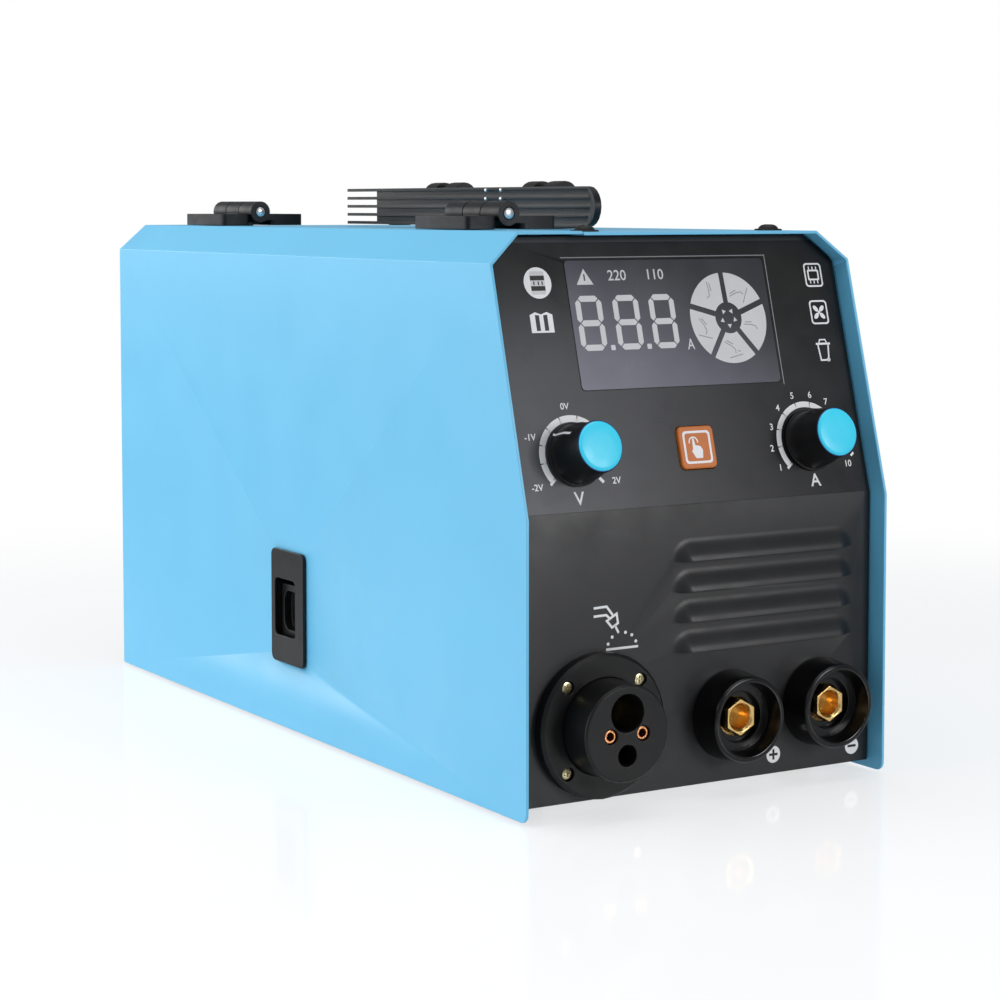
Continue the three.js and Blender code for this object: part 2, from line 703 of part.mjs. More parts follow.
// A rim seats on the panel and the rest fills the panel's cut-out.
function displayWindow() {
  const { x, u, w, h } = DISPLAY;
  return join(
    extrude(roundedRect(x, u, w - 0.6, h - 0.6, 2), GAP, GAP + 0.8, 1),
    extrude(roundedRect(x, u, w - 3.6, h - 3.6, 2), -1.9, GAP + 0.4, 1),
  );
}

// The two dial potentiometers are soldered to the board and bolted through the panel.
function potentiometer(x) {
  const foot = BOARD.top - 0.5;
  const body = turned([[0, foot], [8, foot], [8, -2.1], [4.5, -2.1], [4.5, 1.2], [0, 1.2]], 16);
  const nut = extrude(regularPolygon(6, 12), 2 * GAP + 0.6, 3.2);
  return join(body, nut).translate(x, KNOB.u, 0);
}

function controlBoard() {
  const { top, thick } = BOARD;
  const back = top - thick;
  const board = join(
    block(-92, 92, 8, 128, back, top),
    block(-60, 60, 63, 126, top - 0.2, -2.4), // display module
    block(-88, -70, 90, 120, back - 10, back + 0.2),
    block(40, 62, 8, 16, back - 9, back + 0.2),
    block(-62, -40, 8, 16, back - 9, back + 0.2),
    potentiometer(KNOB.left),
    potentiometer(KNOB.right),
  );
  const bores = [KNOB.left, KNOB.right].map((x) => rod(SHAFT.boreR, -9, 5, x, KNOB.u, 12));
  return cut(board, ...bores);
}

function modeButton() {
  const { size, r } = BUTTON;
  const cap = extrude(roundedRect(0, 0, size, size, r - 0.2), -4, 2.6);
  const collar = extrude(roundedRect(0, 0, size + 3.4, size + 3.4, r), -4, -2.1, 1);
  return join(cap, collar, rod(3, -10.7, -3.5, 0, 0, 12));
}

function controlKnob() {
  const { skirtR, r, topR, top, capR } = KNOB;
  return turned(
    [
      [0, -8],
      [SHAFT.r, -8],
      [SHAFT.r, 6.5],
      [9.5, 6.5],
      [9.5, 1.6],
      [skirtR, 1.6],
      [skirtR - 0.4, 2.9],
      [r, 3.4],
      [topR, top - 1],
      [topR - 0.6, top],
      [capR + 0.3, top],
      [capR + 0.3, top - 1.2],
      [0, top - 1.2],
    ],
    24,
  );
}

function knobCap() {
  const { capR, top } = KNOB;
  const seat = top - 0.9;
  return turned([[0, seat], [capR, seat], [capR, top + 0.3], [capR - 1, top + 1.1], [0, top + 1.6]], 24);
}

function buildControls() {
  add('control_overlay', controlOverlay(), OVERLAY_FILM, controlPanel);
  add('display_window', displayWindow(), SMOKED_WINDOW, controlPanel);
  add('control_board', controlBoard(), BOARD_GREEN, controlPanel);
  add('mode_button', modeButton(), BUTTON_ORANGE, controlPanel).position.set(BUTTON.x, BUTTON.u, 0);
  for (const [name, x] of [['voltage', KNOB.left], ['current', KNOB.right]]) {
    add(`${name}_knob`, controlKnob(), BLACK_PLASTIC, controlPanel).position.set(x, KNOB.u, 0);
    add(`${name}_knob_cap`, knobCap(), CAP_BLUE, controlPanel).position.set(x, KNOB.u, 0);
  }
}

// ---------------------------------------------------------------- output sockets

// The flange ring is screwed to the panel around the core.
function torchFlange() {
  const { flangeR, flangeT, coreR } = TORCH;
  const hole = coreR + 0.4 + GAP;
  const body = ring(
    [
      [hole, GAP],
      [flangeR, GAP],
      [flangeR, flangeT - 1.6],
      [flangeR - 1.6, flangeT],
      [hole, flangeT],
    ],
    32,
  );
  const tools = [];
  for (const side of [-TORCH_SCREW, TORCH_SCREW]) {
    for (const level of [-TORCH_SCREW, TORCH_SCREW]) {
      tools.push(rod(3.6, flangeT - 2.6, flangeT + 2, side, level, 14));
      tools.push(rod(2.2, -2, flangeT, side, level, 8));
    }
  }
  return cut(body, ...tools);
}

function torchCore() {
  const { coreR, backR, reach } = TORCH;
  const body = turned(
    [
      [0, -24],
      [backR, -24],
      [backR, GAP],
      [coreR + 0.4, GAP],
      [coreR, reach - 1],
      [coreR - 1, reach],
      [0, reach],
    ],
    32,
  );
  return cut(
    body,
    rod(TORCH_MAIN.r, -30, reach + 2, 0, TORCH_MAIN.v, 24),
    rod(TORCH_KEY.r, 2, reach + 2, 0, TORCH_KEY.v, 16),
    rod(TORCH_PIN.r, -30, reach + 2, -TORCH_PIN.x, TORCH_PIN.v, 14),
    rod(TORCH_PIN.r, -30, reach + 2, TORCH_PIN.x, TORCH_PIN.v, 14),
  );
}

function contactSleeve() {
  const end = TORCH.reach - 1.2;
  return ring([[2.2, -27], [3.5, -27], [3.5, end - 0.4], [3.1, end], [2.2, end]], 14);
}

function wireInlet() {
  return ring([[2, -42], [6, -42], [9, -38], [9, -4], [8, 0], [3.4, 0], [2, -4]], 18);
}

function socketCollar() {
  const { baseR, rimR, reach, neckR } = SOCKET;
  return ring(
    [
      [10.2, -4],
      [neckR, -4],
      [neckR, GAP],
      [baseR, GAP],
      [baseR, 1.6],
      [rimR, reach - 1.2],
      [rimR - 1, reach],
      [rimR - 2.6, reach],
      [rimR - 3, reach - 0.6],
      [17.6, 9],
      [13.2, 9],
      [13, 5],
      [10.2, 5],
    ],
    28,
  );
}

function socketContact() {
  const { across, top, boreR, chamfer } = CONTACT;
  const hexagon = extrude(regularPolygon(6, across), -3.8, top).rotateZ(Math.PI / 6);
  const nut = rod(16.5, -8.6, -4.3, 0, 0, 16);
  const stud = rod(5, -30, -3, 0, 0, 12);
  const [low, high] = [top - chamfer, top + chamfer];
  const mouth = turned([[0, low], [boreR, low], [boreR + 2 * chamfer, high], [0, high]], 20);
  return cut(join(hexagon, nut, stud), rod(boreR, -2, high, 0, 0, 20), mouth);
}

function buildSockets() {
  const torch = mounted('front', TORCH.x, LIP, TORCH.z);
  add('torch_flange', torchFlange(), BLACK_PLASTIC, torch);
  add('torch_core', torchCore(), BLACK_PLASTIC, torch);
  add('torch_contact_left', contactSleeve(), BRASS, torch).position.set(-TORCH_PIN.x, TORCH_PIN.v, 0);
  add('torch_contact_right', contactSleeve(), BRASS, torch).position.set(TORCH_PIN.x, TORCH_PIN.v, 0);
  add('torch_wire_inlet', wireInlet(), BRASS, torch).position.set(0, TORCH_MAIN.v, 0);
  for (const [name, place] of [['positive', POSITIVE], ['negative', NEGATIVE]]) {
    const socket = mounted('front', place.x, LIP, place.z);
    add(`${name}_socket_collar`, socketCollar(), BLACK_PLASTIC, socket);
    add(`${name}_socket_contact`, socketContact(), BRASS, socket);
  }
}

// ---------------------------------------------------------------- wire feeder

function driveAxisZ() {
  return WIRE.z - FEED.rollR - FEED.running;
}

function pressAxisZ() {
  return WIRE.z + FEED.rollR + FEED.running;
}

// Local frame: Z runs along the machine's +X from the roll's middle.
function grooveRoll(boreR) {
  const { rollR: r, rollT: t } = FEED;
  const tyre = [
    [r - 0.6, -t / 2],
    [r, 0.6 - t / 2],
    [r, -1],
    [r - 0.8, 0],
    [r, 1],
    [r, t / 2 - 0.6],
    [r - 0.6, t / 2],
  ];
  if (boreR === 0) {
    return turned([[0, -t / 2], ...tyre, [0, t / 2]], 24);
  }
  return ring([[boreR, -t / 2], ...tyre, [boreR, t / 2]], 16);
}

function driveRoll() {
  const shaft = rod(4, 0, 31, 0, 0, 14);
  const screw = turned([[0, -9], [5, -9], [6, -8], [6, -5.5], [0, -5.5]], 14);
  return join(grooveRoll(0), shaft, screw);
}

function feedMotor() {
  const gearbox = block(-43.7, -21, FEED.y - 25, FEED.y + 25, 18, 62);
  const axis = frame('right', 0, FEED.y, driveAxisZ());
  const can = inMachine(axis, turned([[0, -21.5], [22, -21.5], [22, 40], [18, 43], [0, 43]], 24));
  const bore = inMachine(axis, rod(4.4, -45, -30, 0, 0, 14));
  return cut(join(gearbox, can), bore);
}

function feedPlate() {
  const { plateX0: x0, plateX1: x1 } = FEED;
  const plate = alongX(roundedRect(137, 64, 98, 92, 6), x0, x1);
  const pivot = inMachine(frame('right', 0, ARM.pivotY, ARM.pivotZ), rod(3, -57.5, x0 + 1, 0, 0, 12));
  const lug = block(-70, x0 + 1, TENSION.y - 4, TENSION.y + 4, TENSION.z - 12, TENSION.z - 6.5);
  const cheek = block(-70, -67, TENSION.y - 4, TENSION.y + 4, TENSION.z - 7, TENSION.z + 4);
  const screwPin = inMachine(frame('right', 0, TENSION.y, TENSION.z), rod(2, -69, x0 + 1, 0, 0, 10));
  const guide = block(-67, x0 + 1, 158, 178, WIRE.z - 4, WIRE.z + 4);
  const outlet = block(-67, x0 + 1, 104, 112, WIRE.z - 4, WIRE.z + 4);
  const line = new THREE.Shape();
  line.absarc(WIRE.x, WIRE.z, 1.4, 0, 2 * Math.PI);
  const shaftHole = inMachine(frame('right', 0, FEED.y, driveAxisZ()), rod(7, x0 - 1, x1 + 1, 0, 0, 16));
  return cut(join(plate, pivot, lug, cheek, screwPin, guide, outlet), alongY(line, 90, 185, 4), shaftHole);
}

// The arm lies against the plate, carries the roll's axle, and is forked at its front end.
function pressureArm() {
  const shape = new THREE.Shape();
  shape.absarc(ARM.pivotY, ARM.pivotZ, 7.5, -Math.PI / 2, Math.PI / 2);
  shape.lineTo(FEED.y, pressAxisZ() + 10);
  shape.lineTo(ARM.tipY - 6, ARM.pivotZ + 9);
  shape.lineTo(ARM.tipY - 6, ARM.pivotZ + 1);
  shape.lineTo(FEED.y - 8, ARM.pivotZ - 8);
  const web = alongX(shape, -56, -50.4);
  const fork = block(-71, -50.4, ARM.tipY - 6, ARM.tipY + 6, ARM.pivotZ + 3, ARM.pivotZ + 9);
  const slot = block(-67, -59, ARM.tipY - 8, ARM.tipY + 4, ARM.pivotZ, ARM.pivotZ + 12);
  const axle = inMachine(frame('right', 0, FEED.y, pressAxisZ()), rod(3, -71, -55.5, 0, 0, 12));
  const pivot = inMachine(frame('right', 0, ARM.pivotY, ARM.pivotZ), rod(3.3, -60, -49, 0, 0, 12));
  return cut(join(web, fork, axle), slot, pivot);
}

// Local frame: the swing axis runs along X through the origin, the screw stands up Z.
function tensionScrew() {
  const rise = TENSION.knobZ - TENSION.z;
  const eye = rod(5.4, -3.5, 3.5, 0, 0, 14).rotateY(Math.PI / 2);
  const stem = rod(3, 0, rise + 5, 0, 0, 12);
  const knob = turned([[0, 0], [8, 0], [9, 2], [9, 15], [7, 18], [0, 18]], 16).translate(0, 0, rise);
  return cut(join(eye, stem, knob), rod(2.3, -5, 5, 0, 0, 10).rotateY(Math.PI / 2));
}

function buildFeeder() {
  add('feed_motor', feedMotor(), STEEL);
  add('feed_plate', feedPlate(), ALUMINIUM);
  add('drive_roll', driveRoll(), STEEL, mounted('right', WIRE.x, FEED.y, driveAxisZ()));
  add('pressure_arm', pressureArm(), ALUMINIUM);
  add('pressure_roll', grooveRoll(3.3), STEEL, mounted('right', WIRE.x, FEED.y, pressAxisZ()));
  add('tension_screw', tensionScrew(), KNOB_RED).position.set(WIRE.x, TENSION.y, TENSION.z);
}

// ---------------------------------------------------------------- wire spool

// Local frame of the spool pieces: Z runs along the machine's +X from the partition's face.
function wireSpool() {
  const [out, inn] = [SPOOL.x0 - WALL_X, SPOOL.x1 - WALL_X];
  const { r, coreR, boreR } = SPOOL;
  return ring(
    [
      [boreR, out],
      [r, out],
      [r, out + 3],
      [coreR, out + 4],
      [coreR, inn - 4],
      [r, inn - 3],
      [r, inn],
      [boreR, inn],
    ],
    28,
  );
}

function spoolHub() {
  const [out, inn] = [SPOOL.x0 - WALL_X, SPOOL.x1 - WALL_X];
  const r = SPOOL.boreR - 0.6;
  const shoulder = inn + 0.4;
  const [start, end] = [out + 8, inn + 4];
  return ring([[5.4, start], [r, start], [r, shoulder], [r + 6, shoulder], [r + 6, end], [5.4, end]], 24);
}

function spoolNut() {
  const out = SPOOL.x0 - WALL_X;
  const base = extrude(regularPolygon(8, 58), out - 6, out - 0.4);
  const neck = rod(20, out - 0.5, out + 7.6);
  return join(base, neck);
}

function buildSpool() {
  const axis = mounted('right', WALL_X, SPOOL.y, SPOOL.z);
  add('wire_spool', wireSpool(), SPOOL_PLASTIC, axis);
  add('spool_hub', spoolHub(), BLACK_PLASTIC, axis);
  add('spool_nut', spoolNut(), BLACK_PLASTIC, axis);
}

// ---------------------------------------------------------------- power electronics

function mainBoard() {
  const capacitors = [];
  for (const x of [10, 52]) {
    for (const y of [210, 255]) {
      capacitors.push(rod(17, 105, 150, x, y, 16));
    }
  }
  return join(
    block(-12, 100, 176, 452, 104, 105.6),
    ...capacitors,
    block(30, 96, 320, 372, 105, 128),
    block(-8, 20, 310, 350, 105, 122),
  );
}

// A base plate with upright fins that run along the cooling air.
function heatsink() {
  const { x, y0, y1, finZ, baseZ, top, fins, pitch, finT } = HEATSINK;
  const width = (fins - 1) * pitch + finT;
  const parts = [block(x, x + width, y0, y1, baseZ, top)];
  for (let i = 0; i < fins; i += 1) {
    const left = x + i * pitch;
    parts.push(block(left, left + finT, y0, y1, finZ, baseZ + 1));
  }
  return join(...parts);
}

function transformer() {
  const { x0, x1, y0, y1, z0, z1, limb } = CORE;
  const middle = (x0 + x1) / 2;
  const core = block(x0, x1, y0, y1, z0, z1);
  const window = block(x0 + limb, x1 - limb, y0 - 6, y1 + 4, z0 + limb, z1 - limb);
  const winding = alongY(roundedRect(middle, (z0 + z1) / 2, 46, 38, 8), y0 + 8, y1 - 8);
  return join(cut(core, window), block(middle - 7, middle + 7, y0, y1, z0, z1), winding);
}

function fanFrame() {
  const { x, z, size, y0, y1, ductR } = FAN;
  const outer = alongY(roundedRect(x, z, size, size, 6), y0, y1);
  const axis = frame('front', x, LIP, z);
  const duct = inMachine(axis, rod(ductR, -y1 + LIP - 2, -y0 + LIP + 2, 0, 0, 32));
  const hub = inMachine(axis, rod(20, -y1 + LIP, -y1 + LIP + 3));
  const stub = inMachine(axis, rod(4, -y1 + LIP, -y1 + LIP + 13, 0, 0, 12));
  const spokes = [
    block(x - ductR - 1, x + ductR + 1, y1 - 3, y1, z - 3, z + 3),
    block(x - 3, x + 3, y1 - 3, y1, z - ductR - 1, z + ductR + 1),
  ];
  return join(cut(outer, duct), ...spokes, hub, stub);
}

// Seven pitched blades on a hub cup; the local Z axis points to the front.
function fanRotor() {
  const blades = [];
  for (let i = 0; i < 7; i += 1) {
    const blade = new THREE.BoxGeometry(38, 1.8, 20);
    blade.rotateX(0.7).translate(35, 0, 10.5).rotateZ((2 * Math.PI * i) / 7);
    blades.push(blade);
  }
  const hub = turned([[0, 2], [18, 2], [19, 3], [19, 19], [17, 21], [0, 21]], 20);
  const limit = rod(FAN.ductR - 2, 1.5, 21.5, 0, 0, 42);
  return cut(common(join(hub, ...blades), limit), rod(4.4, 0, 13, 0, 0, 12));
}

function switchBody() {
  const { x, z } = SWITCH;
  const face = REAR_Y + REAR_T;
  const flange = alongY(roundedRect(x, z, 32, 26, 2), face + GAP, face + 2.4, 1);
  const box = block(x - 13.2, x + 13.2, face - 24, face + 1, z - 10.6, z + 10.6);
  const cavity = block(x - 10.9, x + 10.9, face - 9, face + 4, z - 9.4, z + 9.4);
  return cut(join(flange, box), cavity);
}

// A V-fronted rocker, shown tipped to off; the swing axis runs along X through the origin.
function switchRocker() {
  const outline = polygon([[4.4, -8], [2.6, 0], [4.4, 8], [-1, 8], [-5, 3], [-5, -3], [-1, -8]]);
  return alongX(outline, -10.4, 10.4).rotateX(-0.16);
}

function cableGland() {
  return ring(
    [
      [4.6, -9],
      [11.5, -9],
      [11.5, -4],
      [8.2, -4],
      [8.2, GAP],
      [12.5, GAP],
      [12.5, 6],
      [10.5, 7],
      [10.5, 14],
      [8.5, 18],
      [4.6, 18],
    ],
    18,
  );
}

// Brass hose tail for the shielding gas, with its nuts on both faces of the rear panel.
function gasInlet() {
  const tail = [
    [1.8, -12],
    [5, -12],
    [5, 6],
    [3.4, 7],
    [4.2, 10.5],
    [3.4, 11],
    [4.2, 14.5],
    [3.4, 15],
    [3.4, 17.5],
    [1.8, 17.5],
  ];
  const outside = extrude(regularPolygon(6, 15), GAP, 5);
  const inside = extrude(regularPolygon(6, 15), -REAR_T - GAP - 5, -REAR_T - GAP);
  return cut(join(ring(tail, 16), outside, inside), rod(1.8, -14, 19, 0, 0, 16));
}

function buildElectronics() {
  const back = REAR_Y + REAR_T;
  add('main_board', mainBoard(), BOARD_GREEN);
  add('heatsink', heatsink(), ALUMINIUM);
  add('transformer', transformer(), COIL_AMBER);
  add('fan_frame', fanFrame(), BLACK_PLASTIC);
  const rotor = new THREE.Group();
  rotor.position.set(FAN.x, FAN.y1 - 3, FAN.z);
  rotor.rotation.x = Math.PI / 2;
  machine.add(rotor);
  add('fan_rotor', fanRotor(), BLACK_PLASTIC, rotor);
  add('power_switch_body', switchBody(), BLACK_PLASTIC);
  add('power_switch_rocker', switchRocker(), KNOB_RED).position.set(SWITCH.x, back, SWITCH.z);
  add('gas_inlet', gasInlet(), BRASS, mounted('back', GAS.x, back, GAS.z));
  add('cable_gland', cableGland(), BLACK_PLASTIC, mounted('back', GLAND.x, back, GLAND.z));
}

// ---------------------------------------------------------------- assembly

buildCase();
buildHinges();
buildLatch();
buildHandle();
buildControls();
buildSockets();
buildFeeder();
buildSpool();
buildElectronics();

machine.updateMatrixWorld(true);
const extent = new THREE.Box3().setFromObject(machine, true);
const middle = extent.getCenter(new THREE.Vector3());
machine.position.set(-middle.x, -middle.y, -extent.min.z);

export default machine;
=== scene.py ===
import json
import math

import bmesh
import bpy
from mathutils import Matrix, Vector

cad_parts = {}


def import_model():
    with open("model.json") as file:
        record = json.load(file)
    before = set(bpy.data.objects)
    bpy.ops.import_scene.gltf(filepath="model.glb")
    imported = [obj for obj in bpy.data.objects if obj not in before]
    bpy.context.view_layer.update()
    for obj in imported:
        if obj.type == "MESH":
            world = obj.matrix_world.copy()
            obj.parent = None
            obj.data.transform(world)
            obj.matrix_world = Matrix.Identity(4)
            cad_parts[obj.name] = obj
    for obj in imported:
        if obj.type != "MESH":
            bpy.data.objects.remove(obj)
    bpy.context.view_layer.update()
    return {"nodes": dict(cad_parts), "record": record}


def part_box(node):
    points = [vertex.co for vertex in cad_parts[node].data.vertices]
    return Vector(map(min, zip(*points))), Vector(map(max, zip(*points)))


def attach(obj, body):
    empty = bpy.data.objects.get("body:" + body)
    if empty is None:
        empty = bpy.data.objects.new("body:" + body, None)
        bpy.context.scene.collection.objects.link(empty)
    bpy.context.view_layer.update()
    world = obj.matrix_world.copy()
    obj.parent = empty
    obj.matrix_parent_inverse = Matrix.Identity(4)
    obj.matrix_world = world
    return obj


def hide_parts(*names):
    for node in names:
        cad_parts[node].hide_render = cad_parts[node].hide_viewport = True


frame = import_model()
NODES = frame["nodes"]
BODY_OF = {n: b for b, names in frame["record"]["behaviour"]["bodies"].items() for n in names}
SLOT_OF = {p["node"]: p["material_slot"] for p in frame["record"]["subparts"]}

# ------------------------------------------------------------------ frames of reference
# Lengths in this script are millimetres in a local frame, and MM turns them into metres.

MM = 0.001
DOOR_LOW, DOOR_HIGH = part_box("side_door")
CASE_HALF = 111.0
CASE_TOP = 286.5
LIP = 11.0  # the front panel lies this far behind the side sheets' front edges
FOLD_Z = 148.5
SETBACK = 38.2
LEAN = math.atan2(SETBACK, CASE_TOP - FOLD_Z)
REAR_Y = 495.9

# The case's own frame: x from its middle, y from the side sheets' front edge, z from the floor.
CASE = Matrix.Translation((DOOR_LOW.x + CASE_HALF * MM, DOOR_LOW.y, 0)) @ Matrix.Scale(MM, 4)


def local(origin, right, up):
    """A frame in the case: its x is right, its y is up and its z points out of the surface."""
    x, y = Vector(right).normalized(), Vector(up).normalized()
    z = x.cross(y)
    turn = Matrix((x, y, z)).transposed().to_4x4()
    return CASE @ Matrix.Translation(origin) @ turn


PANEL = local((0, LIP, FOLD_Z), (1, 0, 0), (0, math.sin(LEAN), math.cos(LEAN)))
TOP = local((0, 0, CASE_TOP - 0.6), (1, 0, 0), (0, 1, 0))


def front(x, z):
    return local((x, LIP, z), (1, 0, 0), (0, 0, 1))


def back(x, z):
    return local((x, REAR_Y, z), (-1, 0, 0), (0, 0, 1))


def across(x, y, z):
    """z runs along the machine's +X."""
    return local((x, y, z), (0, 1, 0), (0, 0, 1))


def moved(place, x, y, z=0.0):
    return place @ Matrix.Translation((x, y, z))


def from_middle(x):
    """A distance along X in metres, as millimetres from the middle of the case."""
    return x / MM - CASE[0][3] / MM


# ------------------------------------------------------------------ materials

class Nodes:
    """A material's node tree with short calls for adding and linking nodes."""

    def __init__(self, name):
        self.material = bpy.data.materials.new(name)
        self.material.use_nodes = True
        self.tree = self.material.node_tree
        self.shader = self.tree.nodes["Principled BSDF"]
        self.where = self.tree.nodes.new("ShaderNodeTexCoord").outputs["Object"]

    def add(self, kind, **inputs):
        node = self.tree.nodes.new("ShaderNode" + kind)
        for key, value in inputs.items():
            self.put(node, key.replace("_", " "), value)
        return node

    def put(self, node, key, value):
        socket = node.inputs[key]
        if isinstance(value, bpy.types.NodeSocket):
            self.tree.links.new(value, socket)
        else:
            socket.default_value = value

    def set(self, **inputs):
        for key, value in inputs.items():
            self.put(self.shader, key.replace("_", " "), value)

    def stretched(self, scale):
        node = self.add("Mapping", Vector=self.where)
        node.inputs["Scale"].default_value = scale
        return node.outputs["Vector"]

    def noise(self, size, detail=3.0, rough=0.5, vector=None):
        """Noise whose features are about size metres across."""
        node = self.add("TexNoise", Vector=vector or self.where, Scale=1.0 / size)
        node.inputs["Detail"].default_value = detail
        node.inputs["Roughness"].default_value = rough
        return node.outputs["Fac"]

    def ramp(self, fac, *stops):
        node = self.add("ValToRGB", Fac=fac)
        ramp = node.color_ramp
        while len(ramp.elements) < len(stops):
            ramp.elements.new(0.5)
        for element, (position, colour) in zip(ramp.elements, stops):
            element.position = position
            element.color = (*colour, 1) if len(colour) == 3 else colour
        return node.outputs["Color"]

    def span(self, fac, low, high):
        """Maps noise, which lies mostly from 0.3 to 0.7, to low and high."""
        node = self.add("MapRange", Value=fac)
        node.inputs["From Min"].default_value = 0.3
        node.inputs["From Max"].default_value = 0.7
        node.inputs["To Min"].default_value = low
        node.inputs["To Max"].default_value = high
        return node.outputs["Result"]

    def bump(self, height, strength, depth):
        node = self.add("Bump", Height=height, Strength=strength, Distance=depth)
        return node.outputs["Normal"]


ROUGH_SPREAD = 0.06  # how far a surface's roughness wanders either way


def shades(colour, spread):
    return [tuple(min(1.0, c * k) for c in colour) for k in (1 - spread, 1 + spread)]


def finish(name, colour, rough, spread=0.05, patch=0.06, grain=0.0006, depth=0.00003,
           strength=0.5, metal=0.0, specular=0.5, stretch=None):
    """A moulded, painted or metal surface: patches of tone, uneven gloss and a fine grain."""
    n = Nodes(name)
    vector = n.stretched(stretch) if stretch else n.where
    low, high = shades(colour, spread)
    broad = n.noise(patch, 4.0, 0.6)
    fine = n.noise(grain, 2.0, 0.5, vector)
    tone = n.add("Math", Value=0.5)
    tone.operation = "MULTIPLY_ADD"
    n.tree.links.new(fine, tone.inputs[0])
    tone.inputs[1].default_value = 0.35
    n.tree.links.new(broad, tone.inputs[2])
    n.set(
        Base_Color=n.ramp(tone.outputs[0], (0.45, low), (0.95, high)),
        Roughness=n.span(n.noise(patch * 0.4, 3.0), rough - ROUGH_SPREAD, rough + ROUGH_SPREAD),
        Normal=n.bump(fine, strength, depth),
        Metallic=metal,
        Specular_IOR_Level=specular,
    )
    return n.material


def printed(name, colour, rough=0.45):
    """Screen-printed ink: slightly mottled, with a soft edge to its gloss."""
    return finish(name, colour, rough, spread=0.04, patch=0.01, grain=0.0003, depth=0.00001,
                  strength=0.3, specular=0.4)


BLUE = finish("blue_paint", (0.155, 0.545, 0.83), 0.38, spread=0.02, patch=0.09, grain=0.0007,
              depth=0.00004, strength=0.35, specular=0.5)
BLACK_PAINT = finish("black_paint", (0.009, 0.009, 0.0105), 0.42, spread=0.12, patch=0.05,
                     grain=0.0006, depth=0.00005, strength=0.5, specular=0.5)
OVERLAY = finish("overlay_film", (0.008, 0.008, 0.009), 0.33, spread=0.10, patch=0.05,
                 grain=0.0004, depth=0.00002, strength=0.4, specular=0.3)
MATT_BLACK = finish("hinge_plastic", (0.008, 0.008, 0.009), 0.42, spread=0.18, patch=0.02,
                    grain=0.0008, depth=0.00008, strength=0.6, specular=0.25)
BLACK = finish("black_plastic", (0.006, 0.006, 0.0065), 0.36, spread=0.12, patch=0.03,
               grain=0.0005, depth=0.00003, strength=0.4, specular=0.3)
GLOSS_BLACK = finish("socket_plastic", (0.0035, 0.0035, 0.004), 0.20, spread=0.12, patch=0.03,
                     grain=0.0006, depth=0.00002, strength=0.3, specular=0.35)
WINDOW = finish("smoked_window", (0.033, 0.033, 0.041), 0.24, spread=0.05, patch=0.08,
                grain=0.0006, depth=0.00001, strength=0.2)
CAP = finish("cap_blue", (0.04, 0.72, 1.0), 0.34, spread=0.03, patch=0.02, grain=0.0004,
             depth=0.00002, strength=0.3)
# Painted shade: a darker copy of the cap blue for the caps' side and rim. The capacitor cans use it as
# their own dark blue.
CAP_SHADE_AND_CAN_BLUE = finish("cap_shade_and_can_blue", (0.008, 0.12, 0.46), 0.4, spread=0.05, patch=0.02, grain=0.0004)
ORANGE = finish("button_orange", (0.56, 0.15, 0.02), 0.40, spread=0.06, patch=0.01, grain=0.0004,
                depth=0.00003, strength=0.4)
BRASS = finish("brass", (0.84, 0.56, 0.22), 0.22, spread=0.05, patch=0.006, grain=0.0006,
               depth=0.00001, strength=0.15, metal=1.0)
COPPER = finish("contact_copper", (0.80, 0.36, 0.16), 0.28, spread=0.08, patch=0.006,
                grain=0.0004, metal=1.0)
STEEL = finish("pin_steel", (0.66, 0.66, 0.67), 0.25, spread=0.05, patch=0.01, grain=0.0004,
               depth=0.00002, strength=0.4, metal=1.0)
ZINC = finish("zinc_sheet", (0.50, 0.52, 0.53), 0.38, spread=0.10, patch=0.012, grain=0.0012,
              depth=0.00002, strength=0.3, metal=1.0, stretch=(1, 0.2, 1))
GOLD_ZINC = finish("passivated_screw", (0.62, 0.56, 0.34), 0.30, spread=0.25, patch=0.002,
                   grain=0.0003, metal=1.0)
ALUMINIUM = finish("aluminium", (0.62, 0.64, 0.66), 0.34, spread=0.06, patch=0.02, grain=0.0006,
                   depth=0.00003, strength=0.4, metal=1.0, stretch=(1, 0.1, 1))
RUBBER = finish("rubber", (0.018, 0.018, 0.018), 0.8, spread=0.2, patch=0.01, grain=0.0007,
                depth=0.0001, strength=0.7, specular=0.3)
BOARD = finish("board_green", (0.012, 0.14, 0.055), 0.35, spread=0.35, patch=0.006, grain=0.0015,
               depth=0.00003, strength=0.6)
AMBER = finish("coil_amber", (0.42, 0.20, 0.05), 0.35, spread=0.2, patch=0.004, grain=0.0012,
               depth=0.0002, strength=0.8, stretch=(1, 1, 0.2))
RED = finish("knob_red", (0.50, 0.025, 0.02), 0.38, spread=0.06, patch=0.01, grain=0.0005)
SPOOL_BLACK = finish("spool_plastic", (0.02, 0.02, 0.022), 0.42, spread=0.15, patch=0.03,
                     grain=0.0007, depth=0.00006, strength=0.5)
WHITE_INK = printed("white_ink", (0.86, 0.86, 0.87))
LCD_INK = printed("display_segment", (0.64, 0.64, 0.66), 0.35)
LCD_DARK = printed("display_shade", (0.075, 0.075, 0.085), 0.35)
LCD_LINE = printed("display_line", (0.27, 0.27, 0.29), 0.35)
BLACK_INK = printed("black_ink", (0.012, 0.012, 0.012))


